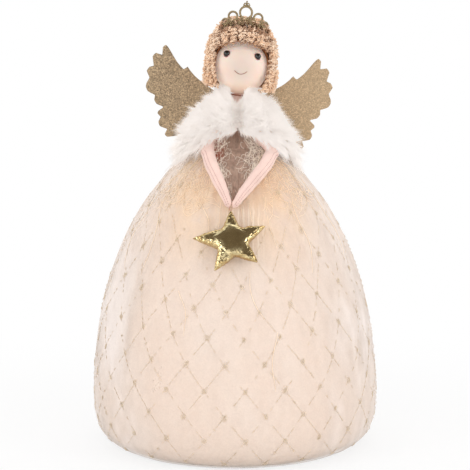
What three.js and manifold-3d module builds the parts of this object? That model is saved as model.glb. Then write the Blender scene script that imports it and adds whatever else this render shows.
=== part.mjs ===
// Angel tree topper: a small doll with a gathered net skirt over a card cone, a fur
// collar, glittered wings, a tiara and a padded star that hangs from its joined hands.
// Lengths are in millimetres. The origin is on the skirt's axis at the level of the
// surface that the topper stands on. +Z is up and the doll faces -Y.

import * as THREE from 'three';
import { mergeVertices } from 'three/addons/utils/BufferGeometryUtils.js';
import Module from 'manifold-3d';

const wasm = await Module();
wasm.setup();

// Clearances
const fit_gap = 0.3;               // between neighbours that touch
const bore_slack = 0.3;            // around the dowel, on the radius
const overrun = 4;                 // how far a cutting solid runs past what it cuts

// Card base and cone, which stands over the tree's leader shoot
const ring_tuck = 1.2;             // from the ring's edge out to the lining
const ring_width = 13;
const ring_thickness = 2;
const cone_ledge = 5;              // of the ring, outside the cone
const cone_top_radius = 12;
const cone_height = 184;
const cone_wall = 1.6;
const plug_thickness = 7;
const plug_depth = 3.5;            // from the cone's rim down to the plug's top face

// Skirt
const skirt_width = 188;
const skirt_rise = 10.7;           // its gathered top edge, above the cone's rim
const skirt_lift = 0.5;            // hem above the standing surface
const waist_gather = 3.3;          // from the torso out to the gathered top edge
const net_thickness = 0.8;
const lining_thickness = 0.8;
const lining_ease = 5.5;           // widest space between net and lining
const fold_depth = 2;
const filling_ease = 2.2;          // between lining and wadding, folds included
const filling_rise = 1.5;          // wadding above the cone's rim
const fold_count = 12;
const drift_count = 5;

// Body under the collar
const torso_height = 33.5;
const torso_radius = 16.8;
const panel_thickness = 0.8;
const panel_half_width = 16;
const panel_length_up = 13;        // on the torso, above the skirt's top edge
const panel_end = 1;               // its lower end, below the hands
const neck_radius = 5.3;
const neck_height = 7.9;
const neck_thread_radius = 0.45;
const dowel_radius = 3;
const dowel_in_head = 12;
const dowel_below_plug = 2.5;

// Head and wig
const head_radius = 17.5;
const eye_radius = 2.05;
const eye_spread = 10.1;           // from the middle of the face
const eye_height = 8;              // above the middle of the head
const eye_sink = 0.7;
const mouth_width = 8.2;
const mouth_sag = 2.1;
const mouth_depth = 2.2;           // corners below the middle of the head
const mouth_thread_radius = 0.25;
const cap_thickness = 0.8;
const hair_half_width = 23.8;
const hair_rise = 31.5;            // above the middle of the head
const hair_lift = 1.88;            // its lower edge, above the collar's top
const parting_height = 12;         // where the side locks leave the crown
const fringe_back = 6;             // from the middle of the head to the back of the fringe
const lock_back = 4;               // the side locks end this far behind the middle

// Tiara
const tiara_radius = 15;           // in plan
const tiara_front = 10;            // its front face, ahead of the head's middle
const tiara_sink = 6.3;            // its foot, below the top of the hair behind it
const tiara_side_drop = 1.6;
const tiara_band_height = 5.6;
const tiara_band_end_height = 1.4;
const tiara_metal = 1.1;
const tiara_end_degrees = 76.7;    // of its curve, from its middle round to its end
const big_ring_radius = 3.6;
const mid_ring_radius = 2.7;
const small_ring_radius = 1.8;
const ring_wire = 0.5;             // radius of the rings' metal
const big_ring_stand = 4.4;        // centres, above the band's upper edge
const mid_ring_stand = 2.67;
const small_ring_stand = 0.57;
const mid_ring_degrees = 33.1;     // from the tiara's middle
const small_ring_degrees = 59.3;
const finial_radius = 1.3;

// Fur collar
const collar_half_width = 42.4;
const collar_top_radius = 15;
const collar_rise = 11.4;          // its top edge, above the torso
const collar_length = 47;          // down to its lowest edge, over the sides of the skirt
const collar_front_length = 24;    // down to its lower edge at the front, over the bodice
const collar_thickness = 8.5;
const collar_notch_width = 17;     // of the V between its front halves, at its top edge
const collar_notch_depth = 9;
const collar_shift = 1.5;
const collar_slit_ease = 3;        // its gap at the back, beyond the wings' patch
const collar_back = 20;            // where the wings press it flat

// Wings and the patch that carries them
const wing_half_span = 62.3;
const wing_height = 60.8;
const wing_drop = 12.1;            // from the wig's lower edge down to the sheet's middle
const wing_thickness = 2;
const patch_width = 18;
const patch_height = 10;

// Arms
const arm_radius = 3.8;
const hand_radius = 2.7;
const shoulder_rise = 9;           // above the skirt's gathered edge
const shoulder_half_width = 15.5;
const shoulder_forward = 12;
const arm_drop = 44;               // from the shoulders down to the hands
const hands_shift = 2.5;           // of the joined hands, to the doll's right
const right_arm_reach = 24;
const left_arm_reach = 17.6;
const arms_lift_degrees = 20;      // the arms' upward swing, which the collar leaves free

// Star
const star_radius = 22.5;
const star_thickness = 10.4;
const star_hang = 19.3;            // from the hands down to its middle
const star_shift = 1.5;            // of its middle, to the doll's right
const stitch_radius = 0.5;

// Lean of the head, wig, tiara and wings to the doll's left
const lean_degrees = 5.2;

// Facet counts
const turn_steps = 32;
const fine_turn_steps = 48;
const head_steps = 24;
const bead_steps = 12;

// Outlines, as shares of the sizes that they follow.
// Skirt: share of the height, share of the way from the waist out to the half width.
const skirt_profile_shares = [
  [0, 0.758], [0.02, 0.864], [0.06, 0.956], [0.14, 1], [0.3, 0.981], [0.5, 0.892], [0.68, 0.7265],
  [0.8, 0.555], [0.88, 0.3895], [0.935, 0.262], [0.97, 0.11], [1, 0],
];
// Space between net and lining: share of the height, share of the ease.
const lining_ease_shares = [
  [0, 0.4], [0.15, 0.45], [0.4, 0.6], [0.75, 1], [0.93, 1], [0.97, 0.4], [1, 0.08],
];
// Torso: share of the radius, share of the height.
const torso_profile_shares = [
  [0.8, 0], [0.96, 0.12], [1, 0.36], [0.98, 0.58], [0.88, 0.76], [0.62, 0.91], [0.36, 1],
];
// Bodice panel: share of the way down it, share of its half width.
const panel_width_shares = [[0, 0.5], [0.15, 0.62], [0.3, 0.9], [0.42, 1], [0.68, 0.72], [1, 0.18]];
// Wig's outer shape: share of the way from its lower edge to its top, share of the half width.
const hair_profile_shares = [
  [0, 0.97], [0.1, 1], [0.25, 1], [0.45, 0.985], [0.6, 0.955], [0.7, 0.91], [0.8, 0.835], [0.88, 0.75],
  [0.94, 0.66], [0.985, 0.5],
];
// Half of the face opening, from the neck up to the middle of the hairline: shares of the head's radius.
const face_opening_shares = [[0.99, -1.3], [0.99, 0.35], [0.9, 0.62], [0.77, 0.75], [0.4, 0.835], [0, 0.86]];
// Collar: share of the drop from its top, share of its outer half width.
const collar_profile_shares = [
  [0, 0.35], [0.17, 0.53], [0.36, 0.72], [0.56, 0.87], [0.78, 0.97], [1, 1],
];
// One wing, from the middle of the upper edge out and back to the middle of the lower
// edge: shares of the half span and of the height.
const wing_outline_shares = [
  [0, 0.04], [0.16, 0.08], [0.33, 0.17], [0.41, 0.22], [0.48, 0.27], [0.54, 0.33], [0.57, 0.365],
  [0.61, 0.335], [0.69, 0.415], [0.75, 0.5], [0.79, 0.555], [0.82, 0.58], [0.85, 0.55], [0.85, 0.47],
  [0.915, 0.485], [0.95, 0.44], [0.93, 0.345], [0.97, 0.33], [1, 0.28], [0.965, 0.21], [0.99, 0.155],
  [0.995, 0.105], [0.97, 0.06], [0.915, 0.035], [0.89, 0.02], [0.895, -0.025], [0.865, -0.07],
  [0.805, -0.09], [0.795, -0.105], [0.84, -0.145], [0.845, -0.175], [0.81, -0.21], [0.83, -0.26],
  [0.81, -0.31], [0.745, -0.33], [0.73, -0.34], [0.75, -0.39], [0.72, -0.42], [0.63, -0.4],
  [0.48, -0.36], [0.29, -0.28], [0.13, -0.22], [0, -0.205],
];
// Fall of the hair in front of the tiara, as a share of the way forward.
const fringe_fall_share = 0.55;
// Star: its five tips, share of a turn from the top one's upright, share of the radius.
const star_tip_shares = [[-0.009, 0.924], [0.174, 1], [0.366, 0.942], [0.581, 0.982], [0.765, 1.062]];
// One point's outline from tip to notch, share of the way round to the notch, share of the radius.
const star_point_shares = [[0, 1], [0.16, 0.85], [0.4, 0.67], [0.7, 0.55], [1, 0.5]];
// Star's rise from its seam to its crown: share of the way out, share of the half thickness.
const star_rise_shares = [[1, 0], [0.93, 0.34], [0.8, 0.62], [0.58, 0.86], [0.3, 0.97]];
// Arms, from the shoulder to the hand: share of the reach, share of the drop.
const arm_route_shares = [[1, 0.24], [0.86, 0.4], [0.68, 0.53], [0.49, 0.66], [0.3, 0.79], [0.16, 0.9]];
const arm_swell_shares = [[0, 0.8], [0.2, 1], [0.55, 1.02], [0.85, 0.92], [1, 0.72]];

// Materials
function cloth(color, roughness = 0.9) {
  return new THREE.MeshStandardMaterial({ color, roughness, metalness: 0 });
}
function metal(color, roughness) {
  return new THREE.MeshStandardMaterial({ color, roughness, metalness: 1 });
}
const card = cloth(0xd8cbb4);
const wadding = cloth(0xf4f1ea);
const lining_cloth = cloth(0xf0d6bb, 0.7);
const net = cloth(0xf7e6d6, 0.6);
const skin = cloth(0xf3dccf);
const pink_skin = cloth(0xecc4b6);
const taupe_cloth = cloth(0xa8988c, 0.7);
const yarn = cloth(0xd9a981);
const fur = cloth(0xfbf9f6);
const thread = cloth(0xa86f5c);
const wood = cloth(0xcfae84, 0.6);
const bead = cloth(0x14110f, 0.1);
const glitter = metal(0xa8895f, 0.5);
const tiara_gold = metal(0x8f7a4c, 0.4);
const foil = metal(0xb9a05c, 0.22);

// Geometry helpers

// Welds a closed surface, drops empty triangles and turns its faces outwards.
function closed(geometry) {
  const bare = geometry.clone();
  for (const name of Object.keys(bare.attributes)) {
    if (name !== 'position') bare.deleteAttribute(name);
  }
  const welded = mergeVertices(bare);
  const corner = welded.index.array;
  const kept = [];
  for (let i = 0; i < corner.length; i += 3) {
    const [a, b, c] = [corner[i], corner[i + 1], corner[i + 2]];
    if (a !== b && b !== c && c !== a) kept.push(a, b, c);
  }
  const at = welded.attributes.position;
  const p = new THREE.Vector3(), q = new THREE.Vector3(), r = new THREE.Vector3();
  let volume = 0;
  for (let i = 0; i < kept.length; i += 3) {
    p.fromBufferAttribute(at, kept[i]);
    q.fromBufferAttribute(at, kept[i + 1]);
    r.fromBufferAttribute(at, kept[i + 2]);
    volume += p.dot(q.cross(r));
  }
  if (volume < 0) kept.reverse();
  welded.setIndex(kept);
  return welded;
}

function toBody(geometry) {
  const surface = closed(geometry);
  return new wasm.Manifold(new wasm.Mesh({
    numProp: 3,
    vertProperties: Float32Array.from(surface.attributes.position.array),
    triVerts: Uint32Array.from(surface.index.array),
  }));
}

function fromBody(body) {
  const mesh = body.getMesh();
  const geometry = new THREE.BufferGeometry();
  geometry.setAttribute('position', new THREE.BufferAttribute(Float32Array.from(mesh.vertProperties), 3));
  geometry.setIndex(new THREE.BufferAttribute(Uint32Array.from(mesh.triVerts), 1));
  return geometry;
}

function cut(geometry, ...cutters) {
  let body = toBody(geometry);
  for (const cutter of cutters) body = body.subtract(toBody(cutter));
  return fromBody(body);
}

function joined(first, ...others) {
  let body = toBody(first);
  for (const other of others) body = body.add(toBody(other));
  return fromBody(body);
}

// A closed surface through rings of points. Its ends are fans about their middles, or
// strips across a thin section, or they are joined to each other.
function throughRings(rings, ends = 'fans') {
  const side = rings[0].length;
  const points = rings.flat();
  const corner = [];
  const last = ends === 'joined' ? rings.length : rings.length - 1;
  for (let i = 0; i < last; i += 1) {
    for (let j = 0; j < side; j += 1) {
      const a = i * side + j, b = i * side + (j + 1) % side;
      const c = ((i + 1) % rings.length) * side + (j + 1) % side, d = ((i + 1) % rings.length) * side + j;
      corner.push(a, b, c, a, c, d);
    }
  }
  if (ends === 'strips') {
    for (const [start, flip] of [[0, true], [(rings.length - 1) * side, false]]) {
      for (let j = 0; j < side / 2 - 1; j += 1) {
        const a = start + j, b = a + 1, c = start + side - 2 - j, d = start + side - 1 - j;
        if (flip) corner.push(a, c, b, a, d, c); else corner.push(a, b, c, a, c, d);
      }
    }
  }
  if (ends === 'fans') {
    for (const [ring, start] of [[rings[0], 0], [rings[rings.length - 1], (rings.length - 1) * side]]) {
      const middle = points.length;
      points.push(ring.reduce((sum, p) => sum.add(p), new THREE.Vector3()).divideScalar(side));
      for (let j = 0; j < side; j += 1) {
        const a = start + j, b = start + (j + 1) % side;
        if (start === 0) corner.push(middle, b, a); else corner.push(middle, a, b);
      }
    }
  }
  const geometry = new THREE.BufferGeometry().setFromPoints(points);
  geometry.setIndex(corner);
  return closed(geometry);
}

// A solid of revolution about Z. The profile is a closed loop or runs from axis to axis.
function turned(profile, steps = turn_steps) {
  const geometry = new THREE.LatheGeometry(profile.map(([r, z]) => new THREE.Vector2(r, z)), steps);
  return closed(geometry.rotateX(Math.PI / 2));
}

// A ring whose section is the four-sided band between two radii at its foot and its top.
function turnedRing(foot, foot_inner, foot_outer, top, top_inner, top_outer, steps = turn_steps) {
  return turned([
    [foot_inner, foot], [foot_outer, foot], [top_outer, top], [top_inner, top], [foot_inner, foot],
  ], steps);
}

// A tapering tube along a curve, with round ends.
function limb(curve, radius_at, steps, sides) {
  const frames = curve.computeFrenetFrames(steps);
  const rings = [];
  for (let i = 0; i <= steps; i += 1) {
    const middle = curve.getPointAt(i / steps);
    const radius = radius_at(i / steps);
    rings.push(Array.from({ length: sides }, (unused, j) => {
      const angle = (2 * Math.PI * j) / sides;
      return middle.clone()
        .addScaledVector(frames.normals[i], radius * Math.cos(angle))
        .addScaledVector(frames.binormals[i], radius * Math.sin(angle));
    }));
  }
  return throughRings(rings);
}

function box(low, high) {
  const geometry = new THREE.BoxGeometry(high[0] - low[0], high[1] - low[1], high[2] - low[2]);
  return geometry.translate((low[0] + high[0]) / 2, (low[1] + high[1]) / 2, (low[2] + high[2]) / 2);
}

// Straight-line reading of a table of pairs.
function read(table, at) {
  if (at <= table[0][0]) return table[0][1];
  for (let i = 1; i < table.length; i += 1) {
    const [[a, from], [b, to]] = [table[i - 1], table[i]];
    if (at <= b) return from + ((to - from) * (at - a)) / (b - a);
  }
  return table[table.length - 1][1];
}

function turnAngles(steps) {
  return Array.from({ length: steps }, (unused, i) => (2 * Math.PI * i) / steps);
}

// Shared places

const skirt_radius = skirt_width / 2;
const waist_radius = torso_radius + waist_gather;
const cone_foot = ring_thickness + fit_gap;
const cone_rim = cone_foot + cone_height;
const skirt_height = cone_rim + skirt_rise;
const torso_foot = cone_rim + filling_rise + fit_gap;
const torso_top = torso_foot + torso_height;
const lean = THREE.MathUtils.degToRad(lean_degrees);
const lean_height = torso_foot + torso_height / 2;
const neck_foot = torso_top + fit_gap + neck_radius * Math.sin(lean);
const head_middle = neck_foot + neck_height + fit_gap + head_radius;
const shoulder_height = skirt_height + shoulder_rise;
const hands_height = shoulder_height - arm_drop;
const star_middle = hands_height - star_hang;
const collar_top = torso_top + collar_rise;
const hair_drop = head_middle - collar_top - hair_lift;
const collar_slit = patch_width + collar_slit_ease;
const collar_foot = collar_top - collar_length;
const collar_front_edge = collar_top - collar_front_length;
const wing_middle = head_middle - hair_drop - wing_drop;


// The skirt's smooth outer radius at a height, and the same with its folds. The front,
// where the star and the bodice lie, stays calm.
function skirtRadius(z) {
  return waist_radius + (skirt_radius - waist_radius) * read(skirt_profile_shares, z / skirt_height);
}

function foldedRadius(z, angle) {
  const up = z / skirt_height;
  const away_from_front = Math.min(1, Math.max(0, (1 - Math.cos(angle)) * 4 - 0.35));
  const calm = 1 - (1 - away_from_front) * Math.min(1, Math.max(0, (up - 0.4) * 5));
  const spread = Math.sin(Math.PI * Math.min(1, Math.max(0, up))) * 0.55 + 0.3 * up * (1 - up) + 0.08;
  const wave = Math.cos(fold_count * angle + 2.6 * up) * 0.65 + Math.cos(drift_count * angle + 1) * 0.35;
  return skirtRadius(z) + fold_depth * spread * calm * wave;
}

function onSkirt(z, angle, inset) {
  const radius = foldedRadius(z, angle) - inset;
  return new THREE.Vector3(radius * Math.sin(angle), -radius * Math.cos(angle), z);
}

// The heights at which the skirt's profile bends, between two heights, and those two.
function skirtLevels(low, high) {
  const bends = skirt_profile_shares.map(([up]) => up * skirt_height);
  return [low, ...bends.filter((z) => z > low + fit_gap && z < high - fit_gap), high];
}

// A thin hollow skirt, open at its foot and its top.
function skirtShell(inset_at, thickness, steps) {
  const angles = turnAngles(steps);
  const ring = (z, inset) => angles.map((angle) => onSkirt(z, angle, inset));
  const heights = skirtLevels(skirt_lift, skirt_height);
  const outer = heights.map((z) => ring(z, inset_at(z)));
  const inner = heights.map((z) => ring(z, inset_at(z) + thickness)).reverse();
  return throughRings([...outer, ...inner], 'joined');
}

const liningInset = (z) => net_thickness + fit_gap * 0.5
  + lining_ease * read(lining_ease_shares, z / skirt_height);
const ring_outer_radius = skirtRadius(0) - liningInset(0) - lining_thickness - ring_tuck;
const cone_foot_radius = ring_outer_radius - cone_ledge;

// The dowel leans with the head, so everything that it passes through is bored at that lean.
const lean_matrix = new THREE.Matrix4()
  .makeTranslation(0, 0, lean_height)
  .multiply(new THREE.Matrix4().makeRotationY(lean))
  .multiply(new THREE.Matrix4().makeTranslation(0, 0, -lean_height));

const plug_top = cone_rim - plug_depth;
const dowel_foot = plug_top - plug_thickness - dowel_below_plug;
const dowel_top = head_middle - head_radius + dowel_in_head;

function dowelSolid(slack) {
  return turned([
    [0, dowel_foot - slack], [dowel_radius + slack, dowel_foot - slack],
    [dowel_radius + slack, dowel_top + slack], [0, dowel_top + slack],
  ], head_steps);
}

const leaning_bore = dowelSolid(bore_slack).applyMatrix4(lean_matrix);

// Base and cone

function baseRing() {
  const inner = ring_outer_radius - ring_width;
  return turnedRing(0, inner, ring_outer_radius, ring_thickness, inner, ring_outer_radius);
}

const cone_slope = (cone_foot_radius - cone_top_radius) / cone_height;
const coneRadius = (z) => cone_foot_radius - (z - cone_foot) * cone_slope;

function supportCone() {
  return turnedRing(cone_foot, cone_foot_radius - cone_wall, cone_foot_radius,
    cone_rim, cone_top_radius - cone_wall, cone_top_radius);
}

function conePlug() {
  const foot = plug_top - plug_thickness;
  const seat = cone_wall + fit_gap;
  const body = turned([[0, foot], [coneRadius(foot) - seat, foot], [coneRadius(plug_top) - seat, plug_top],
    [0, plug_top]]);
  return cut(body, leaning_bore);
}

// Skirt

function skirtFilling() {
  const top = cone_rim + filling_rise;
  const inset = (z) => liningInset(z) + lining_thickness + filling_ease;
  const outside = skirtLevels(cone_foot, top).map((z) => [skirtRadius(z) - inset(z), z]);
  const inside = [[cone_top_radius + fit_gap, top], [cone_top_radius + fit_gap, cone_rim],
    [cone_foot_radius + fit_gap, cone_foot]];
  return turned([...outside, ...inside, outside[0]]);
}

const skirtLining = () => skirtShell(liningInset, lining_thickness, fine_turn_steps);
const skirtNet = () => skirtShell(() => 0, net_thickness, fine_turn_steps);

// Body

function torsoSolid(extra) {
  const side = torso_profile_shares.map(([r, z]) => [r * torso_radius + extra, torso_foot + z * torso_height]);
  const foot = [0, torso_foot - extra], top = [0, torso_foot + torso_height + extra];
  return turned([foot, [side[0][0], foot[1]], ...side.slice(1, -1), [side[side.length - 1][0], top[1]], top],
    head_steps);
}

const torsoRadius = (z) => torso_radius
  * read(torso_profile_shares.map(([r, up]) => [up, r]), (z - torso_foot) / torso_height);

// The panel's middle line from its top on the torso, over the skirt's edge and down the
// skirt, as distance from the axis and height.
function panelLine() {
  const seat = fit_gap + fold_depth * 0.1;
  const top = skirt_height + panel_length_up;
  const on_skirt = skirtLevels(hands_height - panel_end, skirt_height).reverse()
    .map((z) => [skirtRadius(z) + seat, z + seat * 0.5]);
  return [[torsoRadius(top) + seat, top], [skirtRadius(skirt_height), skirt_height + seat * 3], ...on_skirt];
}

function bodicePanel() {
  const line = panelLine();
  const across = 6;
  const rings = line.map(([radius, z], i) => {
    const half = panel_half_width * read(panel_width_shares, i / (line.length - 1));
    const arc = half / radius;
    const face = (extra) => Array.from({ length: across + 1 }, (unused, j) => {
      const angle = arc * ((2 * j) / across - 1);
      return new THREE.Vector3((radius + extra) * Math.sin(angle), -(radius + extra) * Math.cos(angle), z);
    });
    return [...face(0), ...face(panel_thickness).reverse()];
  });
  return throughRings(rings, 'strips');
}

function neck() {
  const top = neck_foot + neck_height;
  return cut(turned([[0, neck_foot], [neck_radius, neck_foot], [neck_radius, top], [0, top]], head_steps),
    dowelSolid(bore_slack));
}

function neckThread() {
  const ring = new THREE.TorusGeometry(neck_radius + neck_thread_radius + fit_gap, neck_thread_radius, 6,
    head_steps);
  return closed(ring.translate(0, 0, neck_foot + neck_height - neck_thread_radius));
}

// Head and wig, about the middle of the head

function ball(radius) {
  return closed(new THREE.SphereGeometry(radius, head_steps, head_steps / 2).rotateX(Math.PI / 2));
}

function head() {
  return cut(ball(head_radius), dowelSolid(bore_slack).translate(0, 0, -head_middle));
}

function onFace(x, z, radius) {
  return new THREE.Vector3(x, -Math.sqrt(radius * radius - x * x - z * z), z);
}

function eye(side) {
  const seat = onFace(side * eye_spread, eye_height, head_radius + eye_radius - eye_sink * 2);
  const pearl = new THREE.SphereGeometry(eye_radius, bead_steps, bead_steps / 2);
  return cut(pearl.translate(seat.x, seat.y, seat.z), ball(head_radius + fit_gap));
}

function mouth() {
  const seat = head_radius + fit_gap + mouth_thread_radius;
  const steps = 8;
  const line = Array.from({ length: steps + 1 }, (unused, i) => {
    const across = (2 * i) / steps - 1;
    return onFace((across * mouth_width) / 2, -mouth_depth - mouth_sag * (1 - across * across), seat);
  });
  return limb(new THREE.CatmullRomCurve3(line), () => mouth_thread_radius, steps, 6);
}

function faceOpening() {
  const half = face_opening_shares.map(([x, z]) => [x * head_radius, z * head_radius]);
  const outline = [...half, ...half.slice(0, -1).reverse().map(([x, z]) => [-x, z])];
  const shape = new THREE.Shape(outline.map(([x, z]) => new THREE.Vector2(x, z)));
  const reach = hair_half_width + overrun;
  return new THREE.ExtrudeGeometry(shape, { depth: reach, bevelEnabled: false }).rotateX(Math.PI / 2);
}

function belowHair(drop) {
  const wide = hair_half_width + overrun;
  return box([-wide, -wide, -hair_half_width * 2], [wide, wide, -drop]);
}

function wigCap() {
  return cut(ball(head_radius + fit_gap + cap_thickness), ball(head_radius + fit_gap), faceOpening(),
    belowHair(hair_drop - fit_gap));
}

// The whole wig's outer shape with the head, the cap and the face cut out of it.
function hairMass() {
  const height = hair_rise + hair_drop;
  const depth_share = 0.93;
  const rings = hair_profile_shares.map(([up, wide]) => turnAngles(head_steps).map((angle) => new THREE.Vector3(
    hair_half_width * wide * Math.sin(angle),
    -hair_half_width * wide * depth_share * Math.cos(angle),
    up * height - hair_drop,
  )));
  const cap = ball(head_radius + cap_thickness + fit_gap * 2);
  return [cap, faceOpening(), tiaraRoom()].reduce((hair, cutter) => hair.subtract(toBody(cutter)),
    toBody(throughRings(rings)));
}

function hairPiece(low, high) {
  return fromBody(hairMass().intersect(toBody(box(low, high))));
}

const hair_reach = hair_half_width + overrun;
const half_gap = fit_gap / 2;

const hairFringe = () => hairPiece([-hair_reach, -hair_reach, parting_height + half_gap],
  [hair_reach, -fringe_back - half_gap, hair_rise + overrun]);
const hairCrown = () => hairPiece([-hair_reach, -fringe_back + half_gap, parting_height + half_gap],
  [hair_reach, hair_reach, hair_rise + overrun]);
const hairLeft = () => hairPiece([0, -hair_reach, -hair_reach], [hair_reach, lock_back - half_gap,
  parting_height - half_gap]);
const hairRight = () => hairPiece([-hair_reach, -hair_reach, -hair_reach], [0, lock_back - half_gap,
  parting_height - half_gap]);
const hairBack = () => hairPiece([-hair_reach, lock_back + half_gap, -hair_reach],
  [hair_reach, hair_reach, parting_height - half_gap]);

// Tiara: a curved band that rises to its middle, with five upright rings and a finial.

const tiara_foot = hair_rise - tiara_sink;
const bandFoot = (across) => tiara_foot - tiara_side_drop * across * across;
const bandTop = (across) => bandFoot(across) + tiara_band_end_height
  + (tiara_band_height - tiara_band_end_height) * (1 - across * across);
const tiara_end = THREE.MathUtils.degToRad(tiara_end_degrees);
const tiaraPoint = (angle, radius, z) => new THREE.Vector3(
  radius * Math.sin(angle), tiara_radius - tiara_front - radius * Math.cos(angle), z,
);

// The space in which it stands: the hair in front of it falls away from its foot.
function tiaraRoom() {
  const steps = 12;
  const near = tiara_radius - tiara_metal / 2 - fit_gap, far = near + hair_reach;
  const rings = [];
  for (let i = 0; i <= steps; i += 1) {
    const across = (2 * i) / steps - 1;
    const angle = across * (tiara_end + fit_gap * 2 / tiara_radius);
    const foot = bandFoot(across) - fit_gap;
    rings.push([tiaraPoint(angle, near, foot), tiaraPoint(angle, far, foot - fringe_fall_share * (far - near)),
      tiaraPoint(angle, far, hair_rise + overrun), tiaraPoint(angle, near, hair_rise + overrun)]);
  }
  return throughRings(rings);
}

function tiaraBand() {
  const steps = 12;
  const rings = [];
  for (let i = 0; i <= steps; i += 1) {
    const across = (2 * i) / steps - 1;
    const angle = across * tiara_end;
    const foot = bandFoot(across), top = bandTop(across);
    const [near, far] = [tiara_radius - tiara_metal / 2, tiara_radius + tiara_metal / 2];
    rings.push([tiaraPoint(angle, near, foot), tiaraPoint(angle, far, foot), tiaraPoint(angle, far, top),
      tiaraPoint(angle, near, top)]);
  }
  return throughRings(rings);
}

function tiaraRing(degrees, stand, radius) {
  const angle = THREE.MathUtils.degToRad(degrees);
  const z = bandTop(angle / tiara_end) + stand;
  const place = tiaraPoint(angle, tiara_radius, z);
  return new THREE.TorusGeometry(radius, ring_wire, 6, 16).rotateX(Math.PI / 2).rotateZ(angle)
    .translate(place.x, place.y, place.z);
}

function tiara() {
  const middle = bandTop(0) + big_ring_stand;
  const top = middle + big_ring_radius + finial_radius;
  const pearls = [[finial_radius, top], [finial_radius * 0.7, top + finial_radius * 1.3]].map(([radius, z]) => {
    const place = tiaraPoint(0, tiara_radius, z);
    return new THREE.SphereGeometry(radius, 8, 6).translate(place.x, place.y, place.z);
  });
  const post_place = tiaraPoint(0, tiara_radius, 0);
  const post_foot = tiara_foot + tiara_band_height * 0.8, post_top = middle - big_ring_radius;
  const post = box([-ring_wire, post_place.y - ring_wire, post_foot], [ring_wire, post_place.y + ring_wire,
    post_top]);
  const rings = [tiaraRing(0, big_ring_stand, big_ring_radius)];
  const posts = [post];
  for (const side of [-1, 1]) {
    rings.push(tiaraRing(side * mid_ring_degrees, mid_ring_stand, mid_ring_radius));
    rings.push(tiaraRing(side * small_ring_degrees, small_ring_stand, small_ring_radius));
  }
  return joined(tiaraBand(), ...posts, ...rings, ...pearls);
}

// Arms. Each runs from the torso's shoulder over the bodice panel to the joined hands.

const arm_seat = fit_gap * 2 + panel_thickness + fold_depth * 0.2;

// The distance from the axis at which something round of a given reach rests on the
// skirt and the torso, at a height.
function restRadius(z, reach) {
  const steps = 24;
  let rest = torsoRadius(z) + reach;
  for (let i = 0; i <= steps; i += 1) {
    const touch = z + reach * ((2 * i) / steps - 1);
    if (touch <= skirt_height) {
      rest = Math.max(rest, skirtRadius(touch) + Math.sqrt(Math.max(0, reach ** 2 - (touch - z) ** 2)));
    }
  }
  return rest;
}

function restPoint(x, z, reach) {
  const ahead = Math.max(shoulder_forward ** 2, restRadius(z, reach) ** 2 - x * x);
  return new THREE.Vector3(x, -Math.sqrt(ahead), z);
}

function armCurve(side, reach) {
  const drop = shoulder_height - hands_height;
  const shoulder = [
    new THREE.Vector3(side * shoulder_half_width * 0.72, -shoulder_forward * 0.75,
      shoulder_height + arm_radius * 0.2),
    new THREE.Vector3(side * shoulder_half_width * 1.08, -shoulder_forward * 1.25,
      shoulder_height - arm_radius * 0.8),
  ];
  const route = new THREE.SplineCurve(arm_route_shares.map(([out, down]) => new THREE.Vector2(
    side * reach * out - hands_shift * (1 - out), shoulder_height - down * drop,
  )));
  const over = route.getSpacedPoints(9).map(({ x, y }) => restPoint(x, y, arm_radius + arm_seat));
  const hand = restPoint(side * (hand_radius + half_gap) - hands_shift, hands_height, hand_radius + arm_seat);
  return new THREE.CatmullRomCurve3([...shoulder, ...over, hand]);
}

function armSolid(side, reach, extra) {
  const radius_at = (along) => {
    const from_hand = (1 - along) * 14;
    const tip = Math.sqrt(Math.max(0.08, 1 - Math.max(0, 1 - from_hand) ** 2));
    return extra + arm_radius * read(arm_swell_shares, along) * tip;
  };
  return limb(armCurve(side, reach), radius_at, 18, 10);
}

function aboutShoulders(geometry, degrees) {
  return geometry.translate(0, shoulder_forward, -shoulder_height)
    .rotateX(-THREE.MathUtils.degToRad(degrees))
    .translate(0, -shoulder_forward, shoulder_height);
}

function arm(side, reach) {
  const torso_room = torsoSolid(fit_gap);
  return cut(armSolid(side, reach, 0), torso_room, aboutShoulders(torsoSolid(fit_gap), -arms_lift_degrees));
}

const armLeft = () => arm(1, right_arm_reach);
const armRight = () => arm(-1, left_arm_reach);

// The space that both arms sweep while they are lifted.
function armsRoom() {
  const steps = 4;
  const bodies = [];
  for (const [side, reach] of [[1, right_arm_reach], [-1, left_arm_reach]]) {
    for (let i = 0; i <= steps; i += 1) {
      bodies.push(aboutShoulders(armSolid(side, reach, fit_gap * 2), (i / steps) * arms_lift_degrees));
    }
  }
  return bodies;
}

// Collar: a thick bell of fur over the shoulders, higher at the front, where its top edge
// opens in a V.

function collarEdge(angle) {
  const side = Math.min(1, Math.abs(Math.sin(angle / 2)) * 1.45);
  return collar_front_edge - (collar_front_edge - collar_foot) * side ** 1.15;
}

function collarRing(angle) {
  const edge = collarEdge(angle);
  const steps = 6;
  const outer = [], inner = [];
  for (let i = 0; i <= steps; i += 1) {
    const z = collar_top - (i / steps) * (collar_top - edge);
    const radius = collar_half_width * read(collar_profile_shares, (collar_top - z) / (collar_top - collar_foot));
    const thick = collar_thickness * Math.min(1, 0.55 + 0.6 * Math.sin(Math.PI * Math.min(1, i / steps)));
    outer.push([radius, z + (i === steps ? thick * 0.2 : 0)]);
    inner.push([radius - thick, z - (i === 0 ? thick * 0.25 : 0)]);
  }
  const place = ([radius, z]) => new THREE.Vector3(
    collar_shift + radius * Math.sin(angle), -radius * Math.cos(angle), z,
  );
  return [...outer, ...inner.reverse()].map(place);
}

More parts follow.
